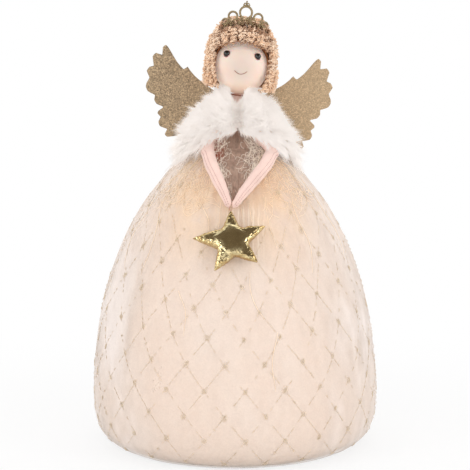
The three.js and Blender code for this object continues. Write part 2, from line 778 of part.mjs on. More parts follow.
function collarNotch() {
  const rise = overrun / collar_notch_depth;
  const half = (collar_notch_width / 2) * (1 + rise), top = collar_top + overrun;
  const shape = new THREE.Shape([[-half, top], [0, collar_top - collar_notch_depth], [half, top]].map(([x, z]) =>
    new THREE.Vector2(collar_shift + x, z)));
  return new THREE.ExtrudeGeometry(shape, { depth: collar_half_width + overrun, bevelEnabled: false })
    .rotateX(Math.PI / 2);
}

function furCollar() {
  const bell = throughRings(turnAngles(turn_steps).map(collarRing), 'joined');
  const wide = collar_half_width * 2;
  const slit = box([collar_shift - collar_slit / 2, 0, 0], [collar_shift + collar_slit / 2, wide, collar_top * 2]);
  const behind = box([-wide, collar_back - fit_gap, 0], [wide, wide, collar_top * 2]);
  const head_room = ball(head_radius + fit_gap * 2).translate(0, 0, head_middle).applyMatrix4(lean_matrix);
  const skirt_room = turned([[0, 0], ...skirtLevels(0, skirt_height).map((z) => [
    skirtRadius(z) + fold_depth + fit_gap, z + fit_gap]), [0, skirt_height + fit_gap]], fine_turn_steps);
  return cut(bell, slit, behind, collarNotch(), head_room, skirt_room, torsoSolid(fit_gap), ...armsRoom());
}

// Wings: one flat sheet behind the collar, on a patch sewn to the torso's back.

const wing_front = collar_back;

function wings() {
  const half = wing_outline_shares.map(([x, z]) => [x * wing_half_span, z * wing_height]);
  const outline = [...half, ...half.slice(1, -1).reverse().map(([x, z]) => [-x, z])];
  const shape = new THREE.Shape(outline.map(([x, z]) => new THREE.Vector2(x, z)));
  return new THREE.ExtrudeGeometry(shape, { depth: wing_thickness, bevelEnabled: false })
    .rotateX(Math.PI / 2).translate(0, wing_front + wing_thickness, wing_middle);
}

function wingPatch() {
  const foot = wing_middle + wing_height * wing_outline_shares[wing_outline_shares.length - 1][1];
  const pad = box([-patch_width / 2, torso_radius * 0.6, foot], [patch_width / 2, wing_front - fit_gap,
    foot + patch_height]);
  const straight = new THREE.Matrix4().copy(lean_matrix).invert();
  return cut(pad, torsoSolid(fit_gap).applyMatrix4(straight));
}

// Star: a padded cushion with a crown and drawn-in sides, hung from its top point.

const star_seat = star_thickness / 2 + fit_gap * 2;

function starFrame() {
  const tip_z = star_middle + star_radius * 0.9, low_z = star_middle - star_radius * 0.7;
  const slope = Math.atan2(skirtRadius(low_z) - skirtRadius(tip_z), tip_z - low_z);
  const middle = new THREE.Vector3(-star_shift, -skirtRadius(star_middle) - star_seat / Math.cos(slope),
    star_middle);
  const up = new THREE.Vector3(0, Math.sin(slope), Math.cos(slope));
  const [turn, out] = star_tip_shares[0];
  const across = new THREE.Vector3(1, 0, 0);
  const tip = middle.clone().addScaledVector(up, star_radius * out * Math.cos(2 * Math.PI * turn))
    .addScaledVector(across, star_radius * out * Math.sin(2 * Math.PI * turn));
  return { slope, middle, up, tip };
}

function starOutline() {
  const outline = [];
  star_tip_shares.forEach(([turn, reach], i) => {
    const [next_turn, next_reach] = star_tip_shares[(i + 1) % star_tip_shares.length];
    const half = (next_turn - turn + (next_turn < turn ? 1 : 0)) / 2;
    const shares = [...star_point_shares.slice(0, -1).map(([way, out]) => [turn + half * way, out * reach]),
      ...star_point_shares.slice(1).reverse().map(([way, out]) => [turn + half * (2 - way), out * next_reach])];
    const notch = shares[star_point_shares.length - 1];
    notch[1] = (notch[1] * (reach + next_reach)) / (2 * next_reach);
    for (const [at, out] of shares) {
      outline.push([star_radius * out * Math.sin(2 * Math.PI * at), star_radius * out * Math.cos(2 * Math.PI * at)]);
    }
  });
  return outline;
}

function star() {
  const { slope, middle } = starFrame();
  const outline = starOutline();
  const rise = (share, side) => outline.map(([x, z]) => new THREE.Vector3(
    x * share[0], (side * share[1] * star_thickness) / 2, z * share[0],
  ));
  const front = star_rise_shares.slice(1).reverse().map((share) => rise(share, -1));
  const back = star_rise_shares.slice(1).map((share) => rise(share, 1));
  const seam = rise(star_rise_shares[0], 1);
  return throughRings([...front, seam, ...back])
    .rotateX(-slope)
    .translate(middle.x, middle.y, middle.z);
}

// The thread that joins the star's top point to the hands.
function starStitch() {
  const { tip } = starFrame();
  const hands = restPoint(-hands_shift, hands_height + hand_radius * 0.4, hand_radius + arm_seat);
  const way = hands.clone().sub(tip).normalize();
  const foot = tip.clone().addScaledVector(way, stitch_radius + fit_gap);
  const top = tip.clone().lerp(hands, 0.62);
  return limb(new THREE.LineCurve3(foot, top), () => stitch_radius, 2, 8);
}

// Assembly

function piece(name, geometry, material) {
  const mesh = new THREE.Mesh(geometry, material);
  mesh.name = name;
  return mesh;
}

const group = new THREE.Group();
group.add(
  piece('base_ring', baseRing(), card),
  piece('support_cone', supportCone(), card),
  piece('cone_plug', conePlug(), wood),
  piece('skirt_filling', skirtFilling(), wadding),
  piece('skirt_lining', skirtLining(), lining_cloth),
  piece('skirt_net', skirtNet(), net),
  piece('torso', cut(torsoSolid(0), leaning_bore), skin),
  piece('bodice_panel', bodicePanel(), taupe_cloth),
  piece('fur_collar', furCollar(), fur),
  piece('arm_left', armLeft(), pink_skin),
  piece('arm_right', armRight(), pink_skin),
  piece('star_stitch', starStitch(), thread),
  piece('star', star(), foil),
);

const leaning = new THREE.Group();
leaning.position.set(lean_height * Math.sin(-lean), 0, lean_height * (1 - Math.cos(lean)));
leaning.rotation.y = lean;
leaning.add(
  piece('spine_dowel', dowelSolid(0), wood),
  piece('neck', neck(), pink_skin),
  piece('neck_thread', neckThread(), thread),
  piece('wings', closed(wings()), glitter),
  piece('wing_patch', wingPatch(), cloth(0xd9c9b2)),
);

const head_group = new THREE.Group();
head_group.position.z = head_middle;
head_group.add(
  piece('head', head(), skin),
  piece('eye_left', eye(1), bead),
  piece('eye_right', eye(-1), bead),
  piece('mouth_thread', mouth(), thread),
  piece('wig_cap', wigCap(), yarn),
  piece('hair_crown', hairCrown(), yarn),
  piece('hair_fringe', hairFringe(), yarn),
  piece('hair_left', hairLeft(), yarn),
  piece('hair_right', hairRight(), yarn),
  piece('hair_back', hairBack(), yarn),
  piece('tiara', tiara(), tiara_gold),
);
leaning.add(head_group);
group.add(leaning);

export default group;
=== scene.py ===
# Angel tree topper, dressed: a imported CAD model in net, satin, fur, yarn, foil and glitter.
# Lengths are in metres, in the model's own frame: +Z up, the doll faces -Y.
import math
import random

import bmesh
import bpy
from bpy.props import FloatProperty, FloatVectorProperty, IntProperty, PointerProperty
from mathutils import Matrix, Vector, noise


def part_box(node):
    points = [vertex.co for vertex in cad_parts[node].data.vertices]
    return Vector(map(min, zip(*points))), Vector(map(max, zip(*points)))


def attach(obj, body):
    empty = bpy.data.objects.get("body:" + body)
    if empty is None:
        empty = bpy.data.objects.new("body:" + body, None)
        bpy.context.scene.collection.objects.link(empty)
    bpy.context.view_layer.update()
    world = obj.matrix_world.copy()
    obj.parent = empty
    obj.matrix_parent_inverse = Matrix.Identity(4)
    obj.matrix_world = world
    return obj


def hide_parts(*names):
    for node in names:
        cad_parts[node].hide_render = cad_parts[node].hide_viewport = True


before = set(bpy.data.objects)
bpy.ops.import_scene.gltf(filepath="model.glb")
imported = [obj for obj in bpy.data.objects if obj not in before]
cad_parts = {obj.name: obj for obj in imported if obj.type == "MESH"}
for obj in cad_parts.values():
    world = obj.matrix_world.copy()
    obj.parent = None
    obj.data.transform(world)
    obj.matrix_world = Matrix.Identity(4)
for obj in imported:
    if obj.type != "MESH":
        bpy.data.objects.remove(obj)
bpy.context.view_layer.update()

# Vector noise takes its offsets from the clock unless it is seeded.
noise.seed_set(7)

bl_info = {
    "name": "Angel Tree Topper",
    "version": (1, 0, 0),
    "blender": (4, 5, 0),
    "location": "View3D > Sidebar > Topper",
    "description": "Dresses the packed angel tree topper in cloth, fur, yarn, foil and glitter",
    "category": "Object",
}

# The photograph's view.
camera_place, camera_aim = Vector((0, -1.0, 0.2586)), Vector((0, 0, 0.13748))
camera_sensor, camera_lens = 36, 116.54
lamp_aim = Vector((0, 0, 0.16))

# Places that the pieces share, as in the CAD model.
skirt_height = 0.197
skirt_hem = 0.0006
skirt_half_width = 0.094
waist_radius = 0.0201
lining_ease = 0.0055
torso_foot, torso_top, torso_radius = 0.1881, 0.2216, 0.0168
lean = math.radians(5.2)
lean_height = 0.20485
head_middle = 0.24808
head_radius = 0.0175
hands = Vector((-0.0025, -0.06334, 0.162))
star_middle = Vector((-0.0015, -0.07568, 0.1427))
star_slope = math.radians(28.13)
collar_top, collar_foot, collar_front_edge = 0.233, 0.186, 0.209
collar_half_width, collar_shift, collar_back = 0.0424, 0.0015, 0.02
notch_depth, notch_angle = 0.0095, 0.56

leaning = (Matrix.Translation((0, 0, lean_height)) @ Matrix.Rotation(lean, 4, "Y")
           @ Matrix.Translation((0, 0, -lean_height)))
on_head = leaning @ Matrix.Translation((0, 0, head_middle))

# Share of the height, share of the way from the waist out to the half width.
skirt_shares = [
    (0, 0.758), (0.02, 0.864), (0.06, 0.956), (0.14, 1), (0.3, 0.981), (0.5, 0.892), (0.68, 0.7265),
    (0.8, 0.555), (0.88, 0.3895), (0.935, 0.262), (0.97, 0.11), (1, 0),
]
# Space between net and lining: share of the height, share of the ease.
ease_shares = [(0, 0.4), (0.15, 0.45), (0.4, 0.6), (0.75, 1), (0.93, 1), (0.97, 0.4), (1, 0.08)]
# Torso: share of the height, share of the radius.
torso_shares = [(0, 0.8), (0.12, 0.96), (0.36, 1), (0.58, 0.98), (0.76, 0.88), (0.91, 0.62), (1, 0.36)]
# Collar: share of the drop from its top, share of its half width.
collar_shares = [(0, 0.35), (0.17, 0.53), (0.36, 0.72), (0.56, 0.87), (0.78, 0.97), (1, 1)]
# Wig: share of the way up, share of its half width.
hair_shares = [(0, 0.97), (0.1, 1), (0.25, 1), (0.45, 0.985), (0.6, 0.955), (0.7, 0.91), (0.8, 0.835),
               (0.88, 0.75), (0.94, 0.64), (0.985, 0.42), (1, 0.1)]
hair_half_width, hair_rise, hair_drop, hair_depth_share = 0.0238, 0.0315, 0.0132, 0.93
# One wing, from the middle of the upper edge out and back: shares of half span and height.
wing_shares = [
    (0, 0.04), (0.16, 0.08), (0.33, 0.17), (0.41, 0.22), (0.48, 0.27), (0.54, 0.33), (0.57, 0.365),
    (0.61, 0.335), (0.69, 0.415), (0.75, 0.5), (0.79, 0.555), (0.82, 0.58), (0.85, 0.55), (0.85, 0.47),
    (0.915, 0.485), (0.95, 0.44), (0.93, 0.345), (0.97, 0.33), (1, 0.28), (0.965, 0.21), (0.99, 0.155),
    (0.995, 0.105), (0.97, 0.06), (0.915, 0.035), (0.89, 0.02), (0.895, -0.025), (0.865, -0.07),
    (0.805, -0.09), (0.795, -0.105), (0.84, -0.145), (0.845, -0.175), (0.81, -0.21), (0.83, -0.26),
    (0.81, -0.31), (0.745, -0.33), (0.73, -0.34), (0.75, -0.39), (0.72, -0.42), (0.63, -0.4),
    (0.48, -0.36), (0.29, -0.28), (0.13, -0.22), (0, -0.205),
]
wing_half_span, wing_height, wing_middle = 0.0623, 0.0608, 0.22278
# Star: its five tips, share of a turn and of the radius; then one point's outline from tip
# to notch, share of the way round to the notch, share of the radius.
star_tips = [(-0.009, 0.924), (0.174, 1), (0.366, 0.942), (0.581, 0.982), (0.765, 1.062)]
star_shares = [(0, 1), (0.14, 0.87), (0.4, 0.69), (0.7, 0.56), (1, 0.5)]
star_radius, star_thickness = 0.0225, 0.0104
# Arms, from shoulder to hand: share of the reach, share of the drop.
arm_shares = [(1, 0.24), (0.86, 0.4), (0.68, 0.53), (0.49, 0.66), (0.3, 0.79), (0.16, 0.9)]
shoulder_height, shoulder_half_width, shoulder_forward = 0.206, 0.0155, 0.012


def srgb(code):
    """A colour written as on the web, as the linear values that the shaders take."""
    parts = [((code >> shift) & 255) / 255 for shift in (16, 8, 0)]
    return tuple(c / 12.92 if c <= 0.04045 else ((c + 0.055) / 1.055) ** 2.4 for c in parts) + (1.0,)


def colour(name, description, code):
    return FloatVectorProperty(name=name, description=description, size=4, subtype="COLOR", min=0, max=1,
                               default=srgb(code))


def length(name, description, metres):
    return FloatProperty(name=name, description=description, default=metres, min=0, unit="LENGTH",
                         precision=5)


class TOPPER_PG_sizes(bpy.types.PropertyGroup):
    """Sizes that a maker would change."""
    fur_length: length("Fur Length", "How long the collar's fibres are", 0.0104)
    fur_radius: length("Fibre Radius", "Radius of one fibre of fur at its root", 0.0001)
    fur_count: IntProperty(name="Fur Count", description="Fibres of fur in the whole collar",
                           default=44000, min=100)
    yarn_radius: length("Yarn Radius", "Radius of the wig's yarn", 0.00056)
    curl_radius: length("Curl Radius", "Radius of the coils that the yarn is set in", 0.00108)
    curl_pitch: length("Curl Pitch", "Distance between the coils of the yarn", 0.0030)
    net_fold: length("Net Folds", "Depth of the net's soft folds", 0.0016)
    net_gather: length("Net Gathers", "Depth of the gathers under the waist", 0.0012)
    lattice_width: length("Lattice Width", "Width of one diamond of gold thread", 0.0250)
    lattice_height: length("Lattice Height", "Height of one diamond of gold thread", 0.0313)
    lattice_thread: length("Lattice Thread", "Radius of the gold thread", 0.00016)
    arm_radius: length("Arm Radius", "Radius of the stuffed arms", 0.0042)
    wing_thickness: length("Wing Thickness", "Thickness of the glittered wings", 0.002)
    tiara_wire: length("Tiara Wire", "Radius of the tiara's rings", 0.00052)


class TOPPER_PG_colours(bpy.types.PropertyGroup):
    """Colours of the finishes."""
    card: colour("Card", "Cone and ring", 0xD8CBB4)
    wood: colour("Wood", "Plug and dowel", 0xCFAE84)
    wadding: colour("Wadding", "Filling of the skirt", 0xF4F1EA)
    satin: colour("Satin", "Lining of the skirt", 0xF6E0CF)
    net: colour("Net", "Outer layer of the skirt", 0xFBEEE3)
    gold_thread: colour("Gold Thread", "Lattice on the net", 0xD0BC9F)
    pale_thread: colour("Pale Thread", "Knots of the lattice", 0xE5D5BC)
    fur: colour("Fur", "Collar", 0xFFFAF6)
    skin: colour("Face Cloth", "Head and torso", 0xE6D3C5)
    blush: colour("Blush", "Cheeks", 0xEFC4B4)
    pink_cloth: colour("Pink Cloth", "Arms and neck", 0xF3D3C7)
    thread: colour("Thread", "Mouth and neck", 0xA9705C)
    yarn: colour("Yarn", "Wig", 0xF1C49B)
    bead: colour("Bead", "Eyes", 0x0E0C0B)
    glitter: colour("Glitter", "Wings", 0xB39B7C)
    tiara: colour("Tiara Gold", "Tiara", 0x9E8A68)
    foil: colour("Gold Foil", "Star", 0xE3D3A6)
    bodice: colour("Bodice Cloth", "Panel under the collar", 0xB29482)
    silver: colour("Silver Thread", "Curled threads on the bodice", 0xFFF4E6)
    felt: colour("Felt", "Patch behind the wings", 0xD9C9B2)


def sizes():
    return bpy.context.scene.topper_sizes


def colours():
    return bpy.context.scene.topper_colours


# Finishes


class Value:
    """A number that varies over a surface. Sums on it add Math nodes."""

    def __init__(self, finish, socket):
        self.finish, self.socket = finish, socket

    def _sum(self, operation, a, b):
        return self.finish.node("ShaderNodeMath", {"operation": operation}, {0: a, 1: b})

    def __add__(self, other):
        return self._sum("ADD", self, other)

    def __radd__(self, other):
        return self._sum("ADD", other, self)

    def __sub__(self, other):
        return self._sum("SUBTRACT", self, other)

    def __rsub__(self, other):
        return self._sum("SUBTRACT", other, self)

    def __mul__(self, other):
        return self._sum("MULTIPLY", self, other)

    def __rmul__(self, other):
        return self._sum("MULTIPLY", other, self)

    def __truediv__(self, other):
        return self._sum("DIVIDE", self, other)

    def __pow__(self, other):
        return self._sum("POWER", self, other)

    def least(self, other):
        return self._sum("MINIMUM", self, other)

    def most(self, other):
        return self._sum("MAXIMUM", self, other)

    def wave(self):
        return self.finish.node("ShaderNodeMath", {"operation": "SINE"}, {0: self})

    def size(self):
        return self.finish.node("ShaderNodeMath", {"operation": "ABSOLUTE"}, {0: self})

    def between(self, low, high):
        """0 below low, 1 above high, and a soft step between them."""
        return self.finish.node("ShaderNodeMapRange", {"interpolation_type": "SMOOTHSTEP", "clamp": True},
                                {0: self, 1: low, 2: high, 3: 0.0, 4: 1.0})


class Finish:
    """A material in the making: node() adds any node, and surface() ends it."""

    def __init__(self, name):
        self.material = bpy.data.materials.new(name)
        self.material.use_nodes = True
        self.tree = self.material.node_tree
        self.tree.nodes.clear()
        self.count = 0

    def _new(self, kind):
        made = self.tree.nodes.new(kind)
        self.count += 1
        made.location = (220 * (self.count % 9) - 1800, 260 * (self.count // 9))
        return made

    def _feed(self, socket, value):
        if isinstance(value, Value):
            self.tree.links.new(value.socket, socket)
        else:
            socket.default_value = value

    def node(self, kind, settings=None, inputs=None, output=0):
        """Any node, from its type, its settings and what its sockets are given."""
        made = self._new(kind)
        for name, value in (settings or {}).items():
            if name == "stops":
                ramp = made.color_ramp
                while len(ramp.elements) > len(value):
                    ramp.elements.remove(ramp.elements[-1])
                while len(ramp.elements) < len(value):
                    ramp.elements.new(1.0)
                for element, (at, tint) in zip(ramp.elements, value):
                    element.position, element.color = at, tint
            else:
                setattr(made, name, value)
        for name, value in (inputs or {}).items():
            self._feed(made.inputs[name], value)
        return Value(self, made.outputs[output]) if made.outputs else None

    def place(self, scale=(1, 1, 1), turn=(0, 0, 0), output=3):
        """Object coordinates, or the UV map with output 2, scaled and turned."""
        at = self.node("ShaderNodeTexCoord", output=output)
        return self.node("ShaderNodeMapping", {}, {0: at, "Rotation": turn, "Scale": scale})

    def split(self, vector):
        made = self.node("ShaderNodeSeparateXYZ", {}, {0: vector})
        return [Value(self, made.socket.node.outputs[i]) for i in range(3)]

    def attribute(self, name):
        return self.node("ShaderNodeAttribute", {"attribute_name": name}, output=2)

    def noise(self, at, scale, detail=3.0, roughness=0.5):
        return self.node("ShaderNodeTexNoise", {}, {"Vector": at, "Scale": scale, "Detail": detail,
                                                   "Roughness": roughness})

    def cells(self, at, scale, feature="F1", output="Distance"):
        return self.node("ShaderNodeTexVoronoi", {"feature": feature}, {"Vector": at, "Scale": scale},
                         output=output)

    def blend(self, how_much, first, second, kind="MIX"):
        """A colour between two."""
        made = self._new("ShaderNodeMix")
        made.data_type, made.blend_type = "RGBA", kind
        for number, value in ((0, how_much), (6, first), (7, second)):
            self._feed(made.inputs[number], value)
        return Value(self, made.outputs[2])

    def bump(self, height, distance, strength=1.0, normal=None):
        inputs = {"Height": height, "Distance": distance, "Strength": strength}
        if normal is not None:
            inputs["Normal"] = normal
        return self.node("ShaderNodeBump", {}, inputs)

    def surface(self, base, **sockets):
        """The shader itself. Names of sockets are given with underscores for spaces."""
        inputs = {"Base Color": base}
        inputs.update({name.replace("_", " "): value for name, value in sockets.items()})
        shader = self.node("ShaderNodeBsdfPrincipled", {}, inputs)
        self.node("ShaderNodeOutputMaterial", {}, {0: shader})
        return self.material


def tinted(rgba, factor):
    return tuple(min(1.0, c * factor) for c in rgba[:3]) + (1.0,)


def weave(finish, at, threads_per_metre):
    """A plain weave: threads that pass over and under each other."""
    x, y, z = finish.split(at)
    turn = 2 * math.pi * threads_per_metre
    return ((x * turn).wave() * (z * turn).wave() + (y * turn).wave() * (z * turn).wave()) * 0.5


def distance(parts, spot):
    """How far a point of the surface lies from a place."""
    x, y, z = (part - at for part, at in zip(parts, spot))
    return (x * x + y * y + z * z) ** 0.5


def fuzzy(name, dark, light, scale, detail, height):
    """Matted or felted fibres: the darker tone in the hollows of the bump is painted shade, and the lighter one
    sits on the crowns.
    """
    f = Finish(name)
    tufts = f.noise(f.place(), scale, detail, 0.7)
    return f.surface(f.blend(tufts, dark, light), Roughness=0.95, Normal=f.bump(tufts, height))


def twisted(name, dark, light, scale=2600, roughness=0.7, height=0.0001):
    """Spun thread."""
    f = Finish(name)
    twist = f.noise(f.place(), scale, 2, 0.5)
    return f.surface(f.blend(twist, dark, light), Roughness=roughness, Normal=f.bump(twist, height))


def seen_rays(f):
    """1 where the camera looks, straight, in a gloss or through the net."""
    rays = f.node("ShaderNodeLightPath")
    camera, glossy, through = (Value(f, rays.socket.node.outputs[name]) for name in
                               ("Is Camera Ray", "Is Glossy Ray", "Is Transmission Ray"))
    return camera.most(glossy).most(through)


def make_card():
    f = Finish("card")
    at = f.place()
    fibres = f.noise(at, 900, 4, 0.6)
    flecks = f.cells(at, 420).between(0.08, 0.2)
    base = f.blend(flecks, tinted(colours().card, 0.82), colours().card)
    return f.surface(base, Roughness=0.82 + fibres * 0.12, Normal=f.bump(fibres, 0.0001))


def make_wood():
    f = Finish("wood")
    rings = f.noise(f.place((9, 9, 1.2)), 120, 4, 0.55)
    base = f.blend(rings, tinted(colours().wood, 0.72), colours().wood)
    return f.surface(base, Roughness=0.55 + rings * 0.15, Normal=f.bump(rings, 0.0001))


def make_wadding():
    return fuzzy("wadding", tinted(colours().wadding, 0.86), colours().wadding, 160, 6, 0.002)


def make_satin():
    """Peach lining: a fine twill with slow changes of tone along its height."""
    f = Finish("satin")
    at = f.place()
    slow = f.noise(at, 14, 3, 0.55)
    threads = f.noise(f.place((1, 1, 0.08)), 2600, 2, 0.5)
    base = f.blend(slow.between(0.3, 0.7), tinted(colours().satin, 0.965), colours().satin)
    x, y, z = f.split(at)
    # Painted shade: in the gathers under the waist at the front, the lining turns a darker, more orange peach.
    pleats = f.noise(f.place((1, 1, 0.12)), 330, 3, 0.6)
    gathers = z.between(0.15, 0.18) * (1 - x.size().between(0.026, 0.05)) * (1 - y.between(-0.02, 0.0))
    # Painted warm light: a soft peach glow on the front of the lining, below the hands.
    patch = f.noise(f.place((1, 1, 0.5)), 36, 3, 0.6)
    glow = z.between(0.1, 0.16) * (1 - x.size().between(0.022, 0.066)) * (1 - y.between(-0.04, -0.01))
    base = f.blend((glow * patch.between(0.3, 0.6) * 0.55).least(0.6), base, srgb(0xF6D0A4))
    base = f.blend((gathers * (0.65 + pleats * 0.6)).least(1.0), base, srgb(0xFFD29E))
    return f.surface(base, Roughness=0.5 + threads * 0.12, Sheen_Weight=0.25, Sheen_Roughness=0.45,
                     Normal=f.bump(threads + slow * 3.0, 0.0002))


def make_net():
    """Organza: see-through between its threads, and whiter where its layers lie close."""
    f = Finish("net")
    at = f.place()
    mesh = f.noise(at, 900, 2, 0.5)
    cloud = f.noise(f.place((1, 1, 0.45)), 50, 4, 0.6)
    x, y, z = f.split(at)
    sides = x.size().between(0.045, 0.088)
    layers = f.noise(f.place((1, 1, 0.5), (0.3, 0.1, 0.2)), 24, 3, 0.6).between(0.42, 0.68)
    cover = 0.34 + (mesh - 0.5) * 0.12 + (cloud - 0.5) * 0.3 + layers * 0.16
    cover = (cover + sides * (0.12 + layers * 0.2)).least(0.93)
    base = f.blend(cloud, tinted(colours().net, 0.96), colours().net)
    base = f.blend(sides * layers * 0.5, base, srgb(0xFDF4F2))
    # Painted warm light: the same peach glow on the net's front, below the hands.
    warm = z.between(0.11, 0.17) * (1 - x.size().between(0.024, 0.062)) * (1 - y.between(-0.04, -0.01))
    base = f.blend((warm * cloud.between(0.3, 0.65) * 0.8).least(0.7), base, srgb(0xFFE5C4))
    # Painted highlights: pale streaks on the crests of the pleats under the hands, where the net is also made a
    # little denser.
    strip = (1 - (x - 0.007).size().between(0.004, 0.016)) * (1 - y.between(-0.02, 0.0))
    strip = strip * z.between(0.126, 0.142) * (1 - z.between(0.158, 0.166))
    pleats_per_metre = 300
    pleats = (x * (2 * math.pi * pleats_per_metre) + cloud * 9).wave().between(0.0, 1.0) * strip
    base = f.blend(pleats * 0.5, base, srgb(0xFFF4E4))
    cover = (cover + pleats * 0.16).least(0.95)
    return f.surface(base, Roughness=0.62, Alpha=cover, Sheen_Weight=0.3, Sheen_Roughness=0.4,
                     Normal=f.bump(mesh, 0.00006))


def make_gold_thread():
    f = Finish("gold_thread")
    at = f.place()
    twist = f.noise(at, 2400, 2, 0.5)
    tone = f.noise(at, 60, 2, 0.5)
    base = f.blend(tone, tinted(colours().gold_thread, 0.85), tinted(colours().gold_thread, 1.2))
    return f.surface(base, Roughness=0.4 + twist * 0.2, Metallic=0.3, Normal=f.bump(twist, 0.00008))


def make_pale_thread():
    pale = colours().pale_thread
    return twisted("pale_thread", tinted(pale, 0.88), tinted(pale, 1.08), 2400, 0.6, 0.00008)


def make_frill_thread():
    f = Finish("frill_thread")
    at = f.place()
    tone = f.noise(at, 300, 2, 0.5)
    return f.surface(f.blend(tone, srgb(0xF8DDB8), srgb(0xFFF0DC)), Roughness=0.7,
                     Normal=f.bump(f.noise(at, 2400, 2, 0.5), 0.00006))


def make_fur():
    """White fibres. Their cooler, darker tone towards the roots is painted shade, as is the grey in the parting
    at the front, and a faint emission paints a glow on them.
    """
    f = Finish("fur")
    at = f.place()
    root = f.attribute("root")
    tone = f.noise(at, 210, 3, 0.6)
    shade = (0.9, 0.88, 0.87, 1)
    base = f.blend(root * 0.4, colours().fur, shade)
    base = f.blend(tone.between(0.35, 0.75) * 0.12, base, shade)
    x, y, z = f.split(at)
    # Painted shade: grey in the parting down the front of the collar.
    valley = (1 - (x - collar_shift).size().between(0.0005, 0.0065)) * z.between(0.203, 0.213)
    valley = valley * (1 - y.between(-0.02, -0.01))
    base = f.blend(valley * (0.1 + tone * 0.9), base, (0.7, 0.63, 0.57, 1))
    # The emission is a painted glow on the fibres.
    return f.surface(base, Roughness=0.7, Sheen_Weight=0.3, Emission_Color=(1, 0.965, 0.935, 1),
                     Emission_Strength=0.15, Normal=f.bump(f.noise(at, 3000, 1, 0.5), 0.00005))


def make_under_fur():
    f = Finish("under_fur")
    at = f.place((1, 1, 0.35))
    tufts = f.noise(at, 620, 4, 0.7)
    # Painted shade: the hide is grey because it is seen only in the shade between the tufts, and its faint
    # emission is a painted glow.
    base = f.blend(tufts, (0.72, 0.68, 0.65, 1), (0.86, 0.83, 0.8, 1))
    return f.surface(base, Roughness=0.95, Emission_Color=(1, 0.965, 0.94, 1), Emission_Strength=0.06,
                     Normal=f.bump(tufts, 0.0012))


def jersey(f, at, rows):
    """Knitted stockinette, as a height: columns of small stitches."""
    x, _, z = f.split(at)
    turn = 2 * math.pi * rows
    columns = (x * turn).wave().size()
    return columns * 0.6 + (z * turn * 0.8 + columns * 2.0).wave() * 0.4


def make_skin():
    """Fine jersey drawn over a ball, with blushed cheeks, painted shade in the middle of the face and under the
    chin, and a painted glow that grows towards the face's edges.
    """
    f = Finish("skin")
    at = f.place()
    parts = f.split(at)
    knit = jersey(f, at, 1500)
    cheeks = 0.0
    for side in (-1, 1):
        gone = distance(parts, on_head @ Vector((side * 0.0094, -0.0143, -0.0022)))
        cheeks = (1 - gone.between(0.001, 0.0068)) + cheeks
    soft = f.noise(at, 90, 3, 0.5)
    # Painted shade: the skin darkens towards the middle of the face, round the nose and mouth.
    away = distance(parts, on_head @ Vector((0, -0.0172, -0.0005)))
    base = f.blend((1 - away.between(0.003, 0.0125)) * 0.9, colours().skin, tinted(colours().skin, 0.8))
    # Painted shade: darker, warmer skin on the lowest part of the face, at and under the chin.
    chin = (on_head @ Vector((0, -0.012, -0.0165))).z
    base = f.blend((1 - parts[2].between(chin, chin + 0.0095)) * 0.75, base, srgb(0xDDBCA4))
    base = f.blend((cheeks * 0.2).least(1.0), base, colours().blush)
    base = f.blend(soft * 0.1, base, tinted(colours().skin, 0.9))
    # Painted light: the emission glows more towards the face's edges, to lift the shade there.
    glow = f.blend(away.between(0.008, 0.019), tinted(colours().skin, 0.26), base)
    return f.surface(base, Roughness=0.8, Subsurface_Weight=0.3, Subsurface_Scale=0.004,
                     Sheen_Weight=0.4, Sheen_Roughness=0.5, Emission_Color=glow, Emission_Strength=0.27,
                     Normal=f.bump(knit, 0.00004, 0.6))


def make_pink_cloth():
    f = Finish("pink_cloth")
    at = f.place()
    knit = jersey(f, at, 1300)
    slow = f.noise(at, 120, 4, 0.6)
    base = f.blend(slow.between(0.3, 0.7), tinted(colours().pink_cloth, 0.9), colours().pink_cloth)
    # The faint emission is a painted glow that lifts the shade on the arms and neck.
    return f.surface(base, Roughness=0.82, Sheen_Weight=0.35, Sheen_Roughness=0.5, Emission_Color=base,
                     Emission_Strength=0.05, Normal=f.bump(knit + slow * 3.0, 0.00012, 0.7))


def make_thread():
    return twisted("thread", tinted(colours().thread, 0.75), tinted(colours().thread, 1.15))


def make_seam_thread():
    return twisted("seam_thread", srgb(0xA8706A), srgb(0xC49088))


def make_yarn():
    """Loose boucle: pale patches and specks at random are painted highlights, the deep tan where the yarn lies
    deep in the wig is painted shade, and a faint emission is a painted glow.
    """
    f = Finish("yarn")
    at = f.place()
    fuzz = f.noise(at, 1500, 5, 0.7)
    tone = f.noise(at, 95, 3, 0.6)
    depth = f.attribute("depth")
    base = f.blend(fuzz.between(0.3, 0.7), tinted(colours().yarn, 0.8), tinted(colours().yarn, 1.14))
    # Painted highlights: pale patches and specks scattered at random over the yarn.
    speck = f.noise(at, 820, 2, 0.5)
    base = f.blend(tone.between(0.35, 0.7) * 0.7, base, srgb(0xFFE9D0))
    base = f.blend(speck.between(0.52, 0.62) * 0.45, base, srgb(0xFFEFD8))
    # Painted shade: deep tan where the yarn lies deep in the wig.
    base = f.blend((depth * 0.95).least(0.8), base, srgb(0x96602F))
    # The faint emission is a painted glow that lifts the shade under the hair.
    return f.surface(base, Roughness=0.92, Sheen_Weight=0.5, Sheen_Roughness=0.6, Emission_Color=base,
                     Emission_Strength=0.055, Normal=f.bump(fuzz, 0.0004))


def make_wig_net():
    f = Finish("wig_net")
    at = f.place()
    mesh = weave(f, at, 420)
    fuzz = f.noise(at, 1300, 4, 0.7)
    # Painted shade: the cap's dark brown stands in for the shade in the gaps between the yarn.
    base = f.blend(mesh, srgb(0x9A683F), srgb(0xB98457))
    return f.surface(base, Roughness=0.95, Normal=f.bump(mesh + fuzz, 0.0004))


